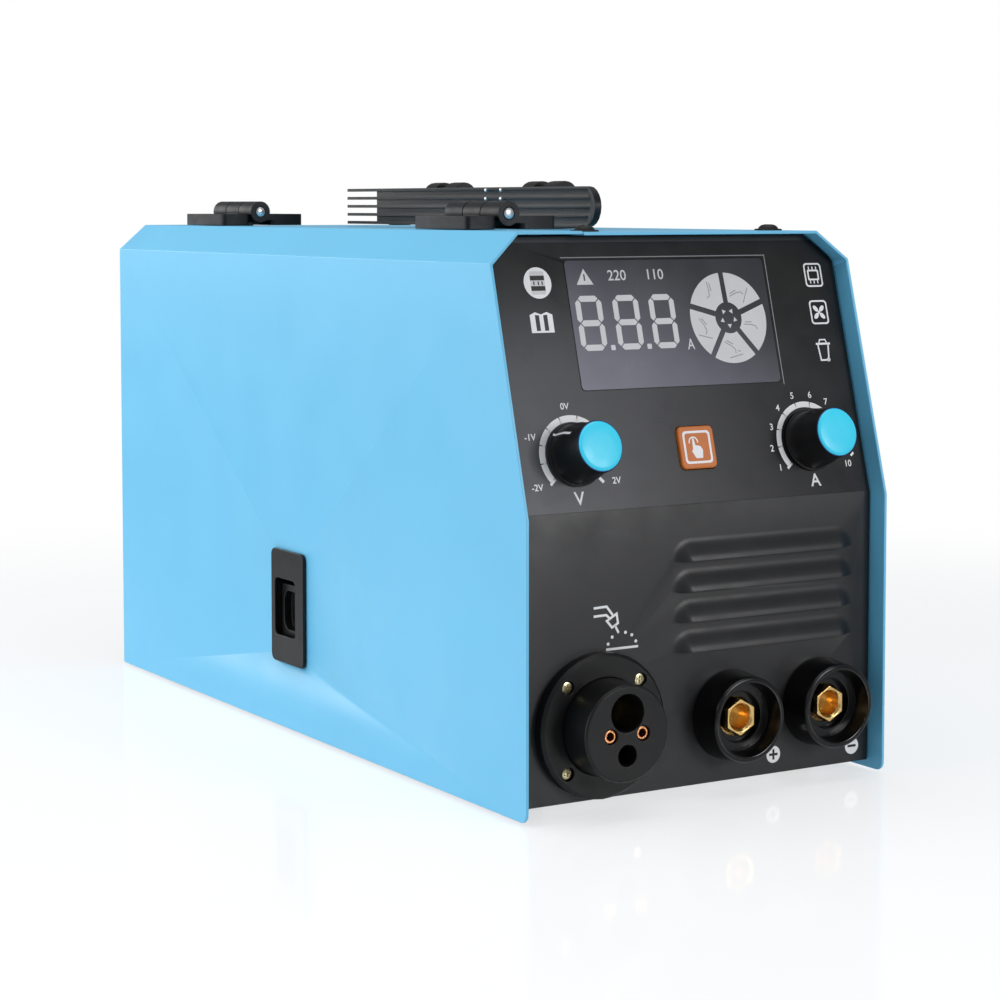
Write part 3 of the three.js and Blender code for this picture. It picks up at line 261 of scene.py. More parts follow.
def painted_light_gradient(material, gain, direction, low, high):
    """Paints a fixed light gradient into a base colour: painted reflection where gain is above 1,
    painted shade where it is below 1. Times 1 at low, rising to times gain at high.
    """
    tree = material.node_tree
    shader = tree.nodes["Principled BSDF"]
    colour = shader.inputs["Base Color"].links[0].from_socket
    where = tree.nodes.new("ShaderNodeTexCoord").outputs["Object"]
    along = tree.nodes.new("ShaderNodeVectorMath")
    along.operation = "DOT_PRODUCT"
    along.inputs[1].default_value = direction
    span = tree.nodes.new("ShaderNodeMapRange")
    span.interpolation_type = "SMOOTHSTEP"
    for key, value in (("From Min", low), ("From Max", high), ("To Min", 1.0), ("To Max", gain)):
        span.inputs[key].default_value = value
    scaled = tree.nodes.new("ShaderNodeVectorMath")
    scaled.operation = "SCALE"
    tree.links.new(where, along.inputs[0])
    tree.links.new(along.outputs["Value"], span.inputs["Value"])
    tree.links.new(colour, scaled.inputs[0])
    tree.links.new(span.outputs["Result"], scaled.inputs["Scale"])
    tree.links.new(scaled.outputs["Vector"], shader.inputs["Base Color"])


# Painted light, not the panels' own tone: a painted reflection makes the window paler towards its
# lower left and the panel paler at its left, and painted shade darkens the panel under its top edge.
# It stays where it is in every view. The last two numbers are metres along the direction.
painted_light_gradient(WINDOW, 6.0, (-0.45, 0, -0.89), -0.245, -0.15)
painted_light_gradient(OVERLAY, 9.0, (-1, 0, 0), -0.09, 0.10)
painted_light_gradient(OVERLAY, 0.08, (0, 0, 1), 0.215, 0.272)

SLOT_MATERIALS = {
    "blue_paint": BLUE, "black_paint": BLACK_PAINT, "zinc_sheet": ZINC, "rubber": RUBBER,
    "hinge_plastic": MATT_BLACK, "pin_steel": STEEL, "black_plastic": BLACK,
    "overlay_film": OVERLAY, "smoked_window": WINDOW, "cap_blue": CAP, "button_orange": ORANGE,
    "brass": BRASS, "aluminium": ALUMINIUM, "board_green": BOARD, "coil_amber": AMBER,
    "knob_red": RED, "spool_plastic": SPOOL_BLACK,
}

# ------------------------------------------------------------------ mesh code


def piece(name, shape, place, material, body="case", node=None, smooth=32.0,
          bevel=0.0):
    """A new object from local vertices and faces, riding on a body. It stands for node if given."""
    verts, faces = shape
    mesh = bpy.data.meshes.new(name)
    mesh.from_pydata([place @ Vector(v) for v in verts], [], faces)
    thing = bpy.data.objects.new(name, mesh)
    bpy.context.scene.collection.objects.link(thing)
    clean(mesh)
    dress(thing, material, smooth, bevel)
    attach(thing, body)
    if node:
        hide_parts(node)
    return thing


def clean(mesh):
    b = bmesh.new()
    b.from_mesh(mesh)
    bmesh.ops.remove_doubles(b, verts=b.verts, dist=1e-6)
    bmesh.ops.recalc_face_normals(b, faces=b.faces)
    b.to_mesh(mesh)
    b.free()


def dress(thing, material, smooth, bevel, steps=2):
    mesh = thing.data
    mesh.materials.clear()
    mesh.materials.append(material)
    mesh.polygons.foreach_set("use_smooth", [True] * len(mesh.polygons))
    mesh.set_sharp_from_angle(angle=math.radians(smooth))
    if bevel:
        edge = thing.modifiers.new("edges", "BEVEL")
        edge.width = bevel * MM
        edge.segments = steps
        edge.limit_method = "ANGLE"
        edge.angle_limit = math.radians(smooth)
        edge.harden_normals = True
        edge.miter_outer = "MITER_ARC"


# Flat sheets with holes: their faces are cut into triangles, or the bevel would tear them.
PIERCED = ("side_door", "top_cover", "rear_panel", "base_pan", "centre_partition", "fan_frame")


def from_node(name, node, material=None, bevel=0.35, smooth=32.0, steps=2):
    """A copy of a CAD node with rounded edges and smooth curves, its flat faces made whole first."""
    mesh = NODES[node].data.copy()
    mesh.name = name
    thing = bpy.data.objects.new(name, mesh)
    bpy.context.scene.collection.objects.link(thing)
    b = bmesh.new()
    b.from_mesh(mesh)
    bmesh.ops.remove_doubles(b, verts=b.verts, dist=2e-6)
    bmesh.ops.dissolve_limit(b, angle_limit=math.radians(0.6), verts=b.verts, edges=b.edges)
    if node in PIERCED:
        many_sided = [face for face in b.faces if len(face.verts) > 4]
        bmesh.ops.triangulate(b, faces=many_sided)
    b.to_mesh(mesh)
    b.free()
    dress(thing, material or SLOT_MATERIALS[SLOT_OF[node]], smooth, bevel, steps)
    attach(thing, BODY_OF[node])
    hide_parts(node)
    return thing


def joined(*shapes):
    verts, faces = [], []
    for v, f in shapes:
        start = len(verts)
        verts += list(v)
        faces += [[i + start for i in face] for face in f]
    return verts, faces


def shifted(shape, x=0.0, y=0.0, z=0.0, turn=0.0):
    m = Matrix.Translation((x, y, z)) @ Matrix.Rotation(math.radians(turn), 4, "Z")
    return [m @ Vector(v) for v in shape[0]], shape[1]


def prism(outline, z0, z1):
    n = len(outline)
    verts = [(x, y, z0) for x, y in outline] + [(x, y, z1) for x, y in outline]
    sides = [[i, (i + 1) % n, n + (i + 1) % n, n + i] for i in range(n)]
    return verts, [list(range(n))[::-1], [n + i for i in range(n)]] + sides


def band(outer, inner, z0, z1):
    """A flat closed ring between two outlines with the same number of points."""
    n = len(outer)
    verts = [(x, y, z) for z in (z0, z1) for line in (outer, inner) for x, y in line]
    faces = []
    for i in range(n):
        j = (i + 1) % n
        faces.append([2 * n + i, 2 * n + j, 3 * n + j, 3 * n + i])
        faces.append([j, i, n + i, n + j])
        faces.append([i, j, 2 * n + j, 2 * n + i])
        faces.append([n + j, n + i, 3 * n + i, 3 * n + j])
    return verts, faces


CORNER_STEPS = 5


def rounded(w, h, r, cx=0.0, cy=0.0):
    points = []
    for k, (sx, sy) in enumerate(((1, -1), (1, 1), (-1, 1), (-1, -1))):
        for i in range(CORNER_STEPS + 1):
            a = math.radians(-90 + 90 * k + 90 * i / CORNER_STEPS)
            x, y = cx + sx * (w / 2 - r), cy + sy * (h / 2 - r)
            points.append((x + r * math.cos(a), y + r * math.sin(a)))
    return points


def circle(r, cx=0.0, cy=0.0, steps=48):
    turn = 2 * math.pi / steps
    return [(cx + r * math.cos(i * turn), cy + r * math.sin(i * turn)) for i in range(steps)]


def stroke(points, width, z0, z1, closed=False):
    """A line of even width through points, with mitred corners."""
    path = [Vector(p) for p in points]
    count = len(path)
    left, right = [], []
    for i, p in enumerate(path):
        before = path[i - 1] if i or closed else None
        after = path[(i + 1) % count] if i < count - 1 or closed else None
        d1 = (p - before).normalized() if before is not None else None
        d2 = (after - p).normalized() if after is not None else None
        d1, d2 = d1 or d2, d2 or d1
        n1, n2 = Vector((-d1.y, d1.x)), Vector((-d2.y, d2.x))
        mitre = (n1 + n2) / max(0.4, 1 + n1.dot(n2))
        left.append(p + mitre * width / 2)
        right.append(p - mitre * width / 2)
    if closed:
        return band(left, right, z0, z1)
    return prism(left + right[::-1], z0, z1)


def arc_points(r, start, end, steps, cx=0.0, cy=0.0):
    points = []
    for i in range(steps + 1):
        a = math.radians(start + (end - start) * i / steps)
        points.append((cx + r * math.cos(a), cy + r * math.sin(a)))
    return points


def lathe(profile, steps=64, closed=False):
    """Turns [radius, height] pairs about z. Radius 0 makes a pole."""
    verts, rings = [], []
    for r, h in profile:
        if r == 0:
            rings.append([len(verts)] * steps)
            verts.append((0, 0, h))
        else:
            rings.append(list(range(len(verts), len(verts) + steps)))
            verts += [(x, y, h) for x, y in circle(r, steps=steps)]
    faces = []
    pairs = list(zip(rings, rings[1:])) + ([(rings[-1], rings[0])] if closed else [])
    for a, b in pairs:
        for i in range(steps):
            j = (i + 1) % steps
            face = list(dict.fromkeys((a[i], a[j], b[j], b[i])))
            if len(face) > 2:
                faces.append(face)
    return verts, faces


def box_shape(x0, x1, y0, y1, z0, z1):
    return prism([(x0, y0), (x1, y0), (x1, y1), (x0, y1)], z0, z1)


def lettering(text, size, x, y, z0, z1, bold=0.0, width=1.0):
    """Raised characters centred on x, y, from Blender's own font."""
    curve = bpy.data.curves.new("lettering", "FONT")
    curve.body = text
    curve.size = size
    curve.offset = bold
    curve.extrude = (z1 - z0) / 2
    curve.align_x, curve.align_y = "CENTER", "CENTER"
    curve.resolution_u = 4
    holder = bpy.data.objects.new("lettering", curve)
    mesh = bpy.data.meshes.new_from_object(holder)
    verts = [(x + v.co.x * width, y + v.co.y, (z0 + z1) / 2 + v.co.z) for v in mesh.vertices]
    faces = [list(p.vertices) for p in mesh.polygons]
    bpy.data.objects.remove(holder)
    bpy.data.curves.remove(curve)
    bpy.data.meshes.remove(mesh)
    return verts, faces


def carved(shape, tool):
    """One shape with another cut out of it, as verts and faces."""
    made = []
    for verts, faces in (shape, tool):
        mesh = bpy.data.meshes.new("carving")
        mesh.from_pydata([Vector(v) for v in verts], [], faces)
        clean(mesh)
        thing = bpy.data.objects.new("carving", mesh)
        bpy.context.scene.collection.objects.link(thing)
        made.append(thing)
    modifier = made[0].modifiers.new("cut", "BOOLEAN")
    modifier.operation, modifier.solver, modifier.object = "DIFFERENCE", "EXACT", made[1]
    bpy.context.view_layer.update()
    result = made[0].evaluated_get(bpy.context.evaluated_depsgraph_get()).to_mesh()
    verts = [tuple(v.co) for v in result.vertices]
    faces = [list(p.vertices) for p in result.polygons]
    for thing in made:
        mesh = thing.data
        bpy.data.objects.remove(thing)
        bpy.data.meshes.remove(mesh)
    return verts, faces


# ------------------------------------------------------------------ screws


def cross_recess(reach, width, z0, z1):
    arm = [(-width, -width), (-width, -reach), (width, -reach), (width, -width)]
    outline = []
    for k in range(4):
        c, s = math.cos(math.pi / 2 * k), math.sin(math.pi / 2 * k)
        outline += [(c * x - s * y, s * x + c * y) for x, y in arm[:3]]
    return prism(outline, z0, z1)


def pan_head(r, h):
    dome = [(0, h), (r * 0.35, h * 0.98), (r * 0.65, h * 0.86), (r * 0.88, h * 0.58),
            (r * 0.98, h * 0.25), (r, 0.1), (r, 0), (0, 0)]
    return carved(lathe(dome, 40), cross_recess(r * 0.55, r * 0.13, h * 0.35, h + 1))


def flat_head(r):
    disc = [(0, 0.12), (r * 0.9, 0.0), (r, -0.15), (r * 0.55, -1.6), (0, -1.6)]
    return carved(lathe(disc, 40), cross_recess(r * 0.6, r * 0.14, -0.9, 1))


def screws(name, head, places, material, body):
    """The same screw head at several places, each turned a little differently."""
    for i, place in enumerate(places):
        turned = place @ Matrix.Rotation(math.radians(17 + 53 * i), 4, "Z")
        piece(f"{name}_{i + 1}", head, turned, material, body, smooth=40)


# ------------------------------------------------------------------ case and fittings


def dress_case():
    from_node("door_sheet", "side_door", BLUE, bevel=0.45)
    from_node("cover_sheet", "top_cover", BLUE, bevel=0.45)
    from_node("front_sheet", "front_panel", BLACK_PAINT, bevel=0.3, smooth=38)
    from_node("rear_sheet", "rear_panel", BLACK_PAINT, bevel=0.3)
    from_node("floor_pan", "base_pan", ZINC, bevel=0.3)
    from_node("partition_sheet", "centre_partition", ZINC, bevel=0.3)
    for end in ("front", "rear"):
        for side in ("left", "right"):
            from_node(f"{end}_{side}_foot", f"foot_{end}_{side}", RUBBER, bevel=0.4)
        for half in ("cover", "door"):
            from_node(f"{end}_hinge_{half}_half", f"hinge_{end}_{half}_leaf", bevel=0.7, steps=3)
        from_node(f"{end}_handle_ears", f"handle_bracket_{end}", bevel=0.6, steps=3)
    from_node("handle_grip", "handle_bail", BLACK, bevel=0.5, steps=3)
    from_node("latch_frame", "latch_bezel", bevel=0.5, steps=3)
    from_node("latch_lever", "latch_slider", bevel=0.6, steps=3)
    from_node("latch_catch", "latch_keeper", bevel=0.2)
    from_node("mains_gland", "cable_gland", bevel=0.4)
    from_node("gas_hose_tail", "gas_inlet", bevel=0.3)
    from_node("switch_housing", "power_switch_body", bevel=0.4)
    from_node("switch_rocker", "power_switch_rocker", bevel=0.4, smooth=50)
    from_node("fan_guard", "fan_frame", bevel=0.4)
    from_node("fan_blades", "fan_rotor", bevel=0.2)


def steel_pin(name, node, r, length):
    low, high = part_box(node)
    middle = (low + high) / 2 / MM
    place = Matrix.Scale(MM, 4) @ Matrix.Translation(middle) @ Matrix.Rotation(math.pi / 2, 4, "X")
    half = length / 2
    end = [(0, half), (r - 0.8, half), (r - 0.2, half - 0.35), (r, half - 0.9)]
    profile = end + [(q, -h) for q, h in reversed(end)]
    piece(name, lathe(profile, 40), place, STEEL, BODY_OF[node], node=node)


def dress_pins():
    for end in ("front", "rear"):
        for kind, r in (("hinge", 3.1), ("handle_pin", 2.5)):
            node = f"hinge_{end}_pin" if kind == "hinge" else f"handle_pin_{end}"
            low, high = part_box(node)
            steel_pin(f"{end}_{kind}_rod", node, r, (high.y - low.y) / MM)


def cover_screws():
    head = joined(pan_head(5.6, 3.3), lathe([(0, 0), (7.2, 0), (7.4, 0.5), (7.0, 0.9), (0, 0.9)], 48))
    tops = [moved(TOP, x, y) for x, y in ((79, 62), (79, 470), (-38, 62), (-38, 470))]
    screws("cover_top_screw", head, tops, MATT_BLACK, "case")
    sides = [local((CASE_HALF, y, 22), (0, 1, 0), (0, 0, 1)) for y in (40, 250, 460)]
    small = pan_head(3.6, 1.7)
    screws("cover_side_screw", small, sides, STEEL, "case")
    rear = [back(x, z) for x in (-96, -40, 40, 96) for z in (18, 262)]
    screws("rear_screw", small, rear, STEEL, "case")
    low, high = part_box("fan_frame")
    cx, cz = (low.x + high.x) / 2, (low.z + high.z) / 2
    x0, z0 = from_middle(cx), cz / MM
    fan = [back(x0 + sx * 52.5, z0 + sz * 52.5) for sx in (-1, 1) for sz in (-1, 1)]
    screws("fan_screw", small, fan, STEEL, "case")


def grip_rivets():
    """Two pairs of small bright studs on the near face of the grip."""
    dome = lathe([(0, 0.7), (0.7, 0.6), (1.1, 0.3), (1.25, -0.6), (0, -0.6)], 20)
    near_face = from_middle(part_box("handle_bail")[0].x)
    spots = [(y, z) for y in (206, 222.6) for z in (303.0, 307.9)]
    for i, (y, z) in enumerate(spots):
        place = local((near_face, y, z), (0, -1, 0), (0, 0, 1))
        piece(f"grip_stud_{i + 1}", dome, place, STEEL, "handle", smooth=60)


# ------------------------------------------------------------------ dials

KNOB_U = 29.3
KNOB_X = {"voltage": -72.2, "current": 73.0}
FILM = 0.92  # height of the overlay's face over the sheet's
KNOB_SIDE = [(16.0, 2.75), (15.15, 3.15), (15.0, 3.7), (14.55, 11.2), (13.3, 14.4), (12.95, 24.0)]


def meridian(profile, angle, width, lift):
    """A thin strip that follows a turned profile at one angle."""
    a = math.radians(angle)
    verts, faces = [], []
    for i, (r, h) in enumerate(profile):
        p, q = profile[max(i - 1, 0)], profile[min(i + 1, len(profile) - 1)]
        out = Vector((q[1] - p[1], p[0] - q[0])).normalized()
        for depth in (lift, -0.3):
            for side in (-width / 2, width / 2):
                x, y = r + out.x * depth, side
                verts.append((x * math.cos(a) - y * math.sin(a),
                              x * math.sin(a) + y * math.cos(a), h + out.y * depth))
    for i in range(len(profile) - 1):
        a0, b0 = 4 * i, 4 * i + 4
        for p, q in ((0, 1), (1, 3), (3, 2), (2, 0)):
            faces.append([a0 + p, a0 + q, b0 + q, b0 + p])
    end = 4 * (len(profile) - 1)
    return verts, faces + [[0, 2, 3, 1], [end, end + 1, end + 3, end + 2]]


def knob(name, pointer):
    body = f"{name}_dial"
    at = moved(PANEL, KNOB_X[name], KNOB_U)
    outside = [(9.5, 1.7), (15.6, 1.7), (16.0, 2.0)] + KNOB_SIDE
    rim = [(12.75, 24.6), (12.5, 24.8), (12.5, 23.4), (0, 23.4)]
    piece(f"{name}_knob_body", lathe(outside + rim, 96), at, BLACK, body,
          node=f"{name}_knob", smooth=28)
    line = [(15.9, 2.85)] + KNOB_SIDE[1:5] + [(13.2, 15.6)]
    piece(f"{name}_knob_line", meridian(line, pointer, 1.3, 0.06), at, WHITE_INK, body)
    cap = [(0, 26.15), (6, 26.1), (10.6, 25.95), (11.3, 25.8), (12.0, 25.35), (12.25, 25.0),
           (12.25, 23.5), (0, 23.5)]
    piece(f"{name}_cap_face", lathe(cap, 96), at, CAP, body,
          node=f"{name}_knob_cap", smooth=50)
    # The cap's side and rim take the darker blue, painted shade on the same plastic as the face.
    edge = [(12.2, 23.5), (12.48, 23.5), (12.48, 24.9), (12.3, 25.05), (12.2, 24.9)]
    piece(f"{name}_cap_edge", lathe(edge, 96, closed=True), at, CAP_SHADE_AND_CAN_BLUE, body)


def scale_band(cx, cy, outer, inner, start, notches, tip):
    """The swept scale: a band with notches in its outer edge that ends in a point."""
    z0, z1 = FILM - 0.02, FILM + 0.05
    shapes = []
    stops = [start] + notches
    for i, a0 in enumerate(stops):
        a1 = stops[i + 1] if i + 1 < len(stops) else tip
        last = i + 1 == len(stops)
        gap = 2.0
        outline = arc_points(outer, a0 - gap / 2, a1 + (0 if last else gap / 2), 10, cx, cy)
        back_edge = arc_points(inner, a1, a0, 10, cx, cy)
        if last:
            outline = arc_points(outer, a0 - gap / 2, a1, 10, cx, cy)
            taper = []
            for k in range(11):
                t = 1 - k / 10
                a = math.radians(a0 + (a1 - a0) * t)
                r = inner + (outer - inner) * t ** 2.2
                taper.append((cx + r * math.cos(a), cy + r * math.sin(a)))
            back_edge = taper[1:]
        shapes.append(prism((outline + back_edge)[::-1], z0, z1))
    for a in notches:
        shapes.append(prism(arc_points(outer - 1.6, a + 1.4, a - 1.4, 3, cx, cy)
                            + arc_points(inner, a - 1.4, a + 1.4, 3, cx, cy), z0, z1))
    hook = math.radians(start + 1.5)
    c, s = math.cos(hook), math.sin(hook)
    shapes.append(stroke([(cx + inner * c, cy + inner * s), (cx + (outer + 0.9) * c,
                         cy + (outer + 0.9) * s)], 1.4, z0, z1))
    shapes.append(stroke(arc_points(inner + 0.5, start + 3, start - 3, 4, cx, cy), 1.0, z0, z1))
    return shapes


def dial_marks():
    z0, z1 = FILM - 0.02, FILM + 0.05
    left = scale_band(-72.2, 29.0, 20.3, 16.9, -141.0, [-170.6, -198.0, -225.5, -252.6, -283.5],
                      -306.0)
    labels = [("-2V", 4.6, -96.1, 14.2), ("-1V", 4.6, -96.3, 39.2), ("0V", 4.6, -74, 53.7),
              ("2V", 4.6, -49.8, 15.3), ("V", 9.4, -72.9, 7.3)]
    for text, size, x, y in labels:
        left.append(lettering(text, size, x, y, z0, z1, bold=0.012 * size))
    left.append(stroke([(-59.7, 17.3), (-57.4, 14.9)], 1.6, z0, z1))
    piece("voltage_scale", joined(*left), PANEL, WHITE_INK)
    right = scale_band(73.0, 29.5, 20.6, 17.6, -141.0, [-172.6, -199.4, -226.7, -255.0, -282.3],
                       -306.0)
    numbers = [("1", 52.1, 16.0), ("2", 48.6, 26.3), ("3", 50.3, 37.5), ("4", 56.2, 47.3),
               ("5", 66.6, 53.3), ("6", 78.2, 53.3), ("7", 88.1, 49.3), ("10", 96.2, 15.9)]
    for text, x, y in numbers:
        right.append(lettering(text, 4.8, x, y, z0, z1, bold=0.05))
    right.append(lettering("A", 9.4, 73.3, 8.2, z0, z1, bold=0.11))
    right.append(stroke([(99.0, 20.0), (101.0, 21.6)], 1.2, z0, z1))
    piece("current_scale", joined(*right), PANEL, WHITE_INK)


# ------------------------------------------------------------------ display

GLASS = 1.1  # height of the window's face over the sheet's
ON_GLASS = (GLASS - 0.02, GLASS + 0.03)
DISPLAY = {"x": -0.5, "u": 94.4, "w": 124.0, "h": 67.0}
DIGIT = {"w": 15.6, "h": 28.2, "bar": 3.1, "gap": 0.4}
WHEEL = {"x": 33.7, "u": 96.0, "outer": 24.0, "inner": 8.3, "first": 92}


def segment_bar(x0, y0, x1, y1):
    """One bar of a digit, with its ends cut at an angle."""
    a, b = Vector((x0, y0)), Vector((x1, y1))
    along = (b - a).normalized()
    side = Vector((-along.y, along.x)) * DIGIT["bar"] / 2
    cut = along * DIGIT["bar"] / 2
    a, b = a + along * DIGIT["gap"], b - along * DIGIT["gap"]
    points = [a, a + side + cut, b + side - cut, b, b - side - cut, a - side + cut]
    return prism([tuple(p) for p in points][::-1], *ON_GLASS)


def digit(x, y):
    w, h, t = DIGIT["w"], DIGIT["h"], DIGIT["bar"] / 2
    left, right, low, mid, high = x + t, x + w - t, y + t, y + h / 2, y + h - t
    across_bars = [(left, z, right, z) for z in (low, mid, high)]
    up_bars = [(q, a, q, b) for q in (left, right) for a, b in ((low, mid), (mid, high))]
    return [segment_bar(*b) for b in across_bars + up_bars]


def wheel_wedge(k):
    x, u, outer, inner = WHEEL["x"], WHEEL["u"], WHEEL["outer"], WHEEL["inner"]
    a0 = WHEEL["first"] + 72 * k
    a1 = a0 + 72
    out, inn = math.degrees(1.5 / outer), math.degrees(1.5 / inner)
    return prism(arc_points(outer, a0 + out, a1 - out, 14, x, u)
                 + arc_points(inner, a1 - inn, a0 + inn, 6, x, u), *ON_GLASS)


def wheel_arrow(k):
    a = math.radians(WHEEL["first"] + 72 * k + 36)
    c, s = math.cos(a), math.sin(a)
    corners = [(5.6, 0), (3.4, 1.3), (3.4, -1.3)]
    return prism([(WHEEL["x"] + r * c - t * s, WHEEL["u"] + r * s + t * c) for r, t in corners],
                 *ON_GLASS)


def wheel_sketch(k):
    """A small line drawing of a torch over a seam."""
    a = math.radians(WHEEL["first"] + 72 * k + 36)
    x, u = WHEEL["x"] + 16.2 * math.cos(a), WHEEL["u"] + 16.2 * math.sin(a)
    lines = [[(-4.6, 4.6), (-1.4, 1.8), (0.6, -0.8)], [(-3.2, 5.0), (0.2, 2.2)],
             [(0.6, -0.8), (0.2, -2.8)], [(-4.4, -4.2), (4.4, -4.2)], [(1.8, -1.6), (3.6, -2.6)]]
    shapes = [stroke(line, 0.45, GLASS + 0.02, GLASS + 0.06) for line in lines[:3 + k % 3]]
    return shifted(joined(*shapes), x, u, 0, 26 * k - 40)


def display_marks():
    figures = [bar for x in (-59.0, -36.8, -14.8) for bar in digit(x, 81.1)]
    figures += [prism(rounded(2.7, 2.7, 0.5, x, 82.4), *ON_GLASS) for x in (-40.1, -18.1)]
    piece("display_digits", joined(*figures), PANEL, LCD_INK)
    triangle = prism([(-56.4, 115.0), (-46.4, 115.0), (-51.4, 123.2)], *ON_GLASS)
    words = [carved(triangle, box_shape(-51.85, -50.95, 117.0, 120.4, 0, 3)),
             lettering("220", 7.6, -31.7, 119.3, *ON_GLASS, bold=0.06),
             lettering("110", 7.6, -8.7, 119.5, *ON_GLASS, bold=0.06),
             lettering("A", 8.0, 7.6, 82.5, *ON_GLASS, bold=0.06, width=0.8)]
    piece("display_text", joined(*words), PANEL, LCD_INK)
    wheel = [wheel_wedge(k) for k in range(5)] + [wheel_arrow(k) for k in range(5)]
    piece("display_wheel", joined(*wheel), PANEL, LCD_INK)
    piece("display_drawings", joined(*[wheel_sketch(k) for k in range(5)]), PANEL, LCD_LINE)
    x, u, w, h = DISPLAY["x"], DISPLAY["u"], DISPLAY["w"] / 2 + 1.4, DISPLAY["h"] / 2 + 1.2
    line = stroke([(x - w, u + h), (x + w, u + h), (x + w, u - h)], 0.5, FILM - 0.02, FILM + 0.04)
    piece("display_edge", line, PANEL, LCD_LINE)


# ------------------------------------------------------------------ icons and the mode button

ON_FILM = (FILM - 0.02, FILM + 0.05)


def cells_icon(x, u):
    """A white disc with a grey tile and two dark bars."""
    disc = prism(circle(8.0, x, u), *ON_FILM)
    tile = prism(rounded(8.4, 11.8, 1, x, u), FILM, FILM + 0.08)
    bars = [box_shape(x - 4.1, x + 4.1, u + v - 1.2, u + v + 1.2, FILM, FILM + 0.11)
            for v in (2.5, -2.8)]
    bars += [box_shape(x + v - 0.35, x + v + 0.35, u - 1.1, u + 0.8, FILM, FILM + 0.1)
             for v in (-2.2, 0.4, 2.6)]
    piece("disc_icon", disc, PANEL, WHITE_INK)
    piece("disc_icon_tile", tile, PANEL, LCD_INK)
    piece("disc_icon_bars", joined(*bars), PANEL, BLACK_INK)


def book_icon(x, u):
    shapes = []
    for side in (-1, 1):
        page = [(0.0, -4.9), (6.6, -4.9), (6.6, 4.2), (3.4, 5.6), (0.0, 4.4)]
        slot = [(1.2, -3.9), (3.6, -3.9), (3.6, -3.0), (3.6, 4.2), (1.2, 4.0)]
        shapes.append(band([(x + side * p, u + q) for p, q in page],
                           [(x + side * p, u + q) for p, q in slot], *ON_FILM))
    return shapes


def framed(x, u):
    return band(rounded(11.6, 13.0, 2, x, u), rounded(9.8, 11.2, 1.3, x, u), *ON_FILM)


def cell_icon(x, u):
    pins = [box_shape(x + v - 0.35, x + v + 0.35, u + s * 3.8 - 0.8, u + s * 3.8 + 0.8, *ON_FILM)
            for v in (-2.4, 0, 2.4) for s in (-1, 1)]
    body = band(rounded(7.4, 5.8, 0.8, x, u), rounded(5.6, 4.0, 0.5, x, u), *ON_FILM)
    return pins + [body, framed(x, u)]


def fan_icon(x, u):
    shapes = [prism(circle(0.8, x, u, 20), *ON_FILM), framed(x, u)]
    blade = prism([(2.0 * math.cos(t / 12 * math.pi), 1.15 * math.sin(t / 12 * math.pi))
                   for t in range(24)], *ON_FILM)
    for k in range(4):
        a = 45 + 90 * k
        cx, cy = 2.8 * math.cos(math.radians(a)), 2.8 * math.sin(math.radians(a))
        shapes.append(shifted(blade, x + cx, u + cy, 0, a))
    return shapes


def bin_icon(x, u):
    return [stroke([(x - 3.4, u + 3.0), (x - 2.6, u - 5.4), (x + 2.4, u - 5.4), (x + 3.4, u + 3.0)],
                   0.9, *ON_FILM),
            stroke([(x - 4.6, u + 3.4), (x + 4.8, u + 3.4)], 1.1, *ON_FILM),
            stroke([(x - 2.6, u + 3.6), (x - 1.8, u + 5.6), (x + 1.8, u + 5.6), (x + 2.6, u + 3.6)],
                   0.7, *ON_FILM),
            prism(circle(1.1, x + 2.3, u - 5.2, 16), *ON_FILM)]


def panel_icons():
    cells_icon(-79.2, 116.4)
    shapes = (book_icon(-79.9, 96.0) + cell_icon(93.5, 117.9) + fan_icon(93.4, 97.6)
              + bin_icon(92.5, 77.1))
    piece("panel_icons", joined(*shapes), PANEL, WHITE_INK)


def mode_key():
    at = moved(PANEL, 0.8, 29.3)
    key = from_node("mode_key_cap", "mode_button", bevel=0.7, steps=3)
    key.modifiers["edges"].harden_normals = False
    z = (2.58, 2.66)
    hand = [(-2.8, 4.6), (-1.9, 4.6), (-1.2, 0.9), (0.2, 0.8), (1.9, 0.3), (3.0, -1.6),
            (2.4, -5.7), (-1.7, -5.7), (-3.8, -2.0), (-3.0, -0.9)]
    shapes = [band(rounded(16.8, 16.8, 2.0), rounded(14.4, 14.4, 1.4), *z),
              prism(hand[::-1], *z),
              stroke(arc_points(2.6, -10, 190, 12, -2.2, 2.6), 0.7, *z)]
    piece("mode_key_mark", joined(*shapes), at, WHITE_INK, "mode_button")


# ------------------------------------------------------------------ front sockets and marks

ON_SHEET = (0.02, 0.1)


def output_socket(name, x, z):
    at = front(x, z)
    profile = [(10.3, -3.8), (14.5, -3.8), (14.5, 0.35), (23.0, 0.35), (23.2, 0.7), (23.15, 1.6),
               (22.0, 15.6), (21.85, 16.8), (21.5, 17.55), (20.9, 17.95), (19.4, 17.95),
               (19.0, 17.8), (18.8, 17.3), (17.75, 9.6), (17.4, 9.1), (13.4, 9.0), (13.15, 8.8),
               (13.0, 5.1), (10.3, 5.0)]
    piece(f"{name}_collar", lathe(profile, 96, closed=True), at, GLOSS_BLACK, "case",
          node=f"{name}_socket_collar", smooth=34)
    from_node(f"{name}_brass", f"{name}_socket_contact", BRASS, bevel=0.4, steps=3)


def polarity_marks():
    for name, x, z in (("plus", 46.1, 15.8), ("minus", 97.8, 14.5)):
        at = front(x, z)
        piece(f"{name}_disc", prism(circle(4.4), *ON_SHEET), at, WHITE_INK)
        sign = [box_shape(-2.7, 2.7, -0.65, 0.65, 0.06, 0.15)]
        if name == "plus":
            sign.append(box_shape(-0.65, 0.65, -2.7, 2.7, 0.06, 0.16))
        piece(f"{name}_sign", joined(*sign), at, BLACK_INK)


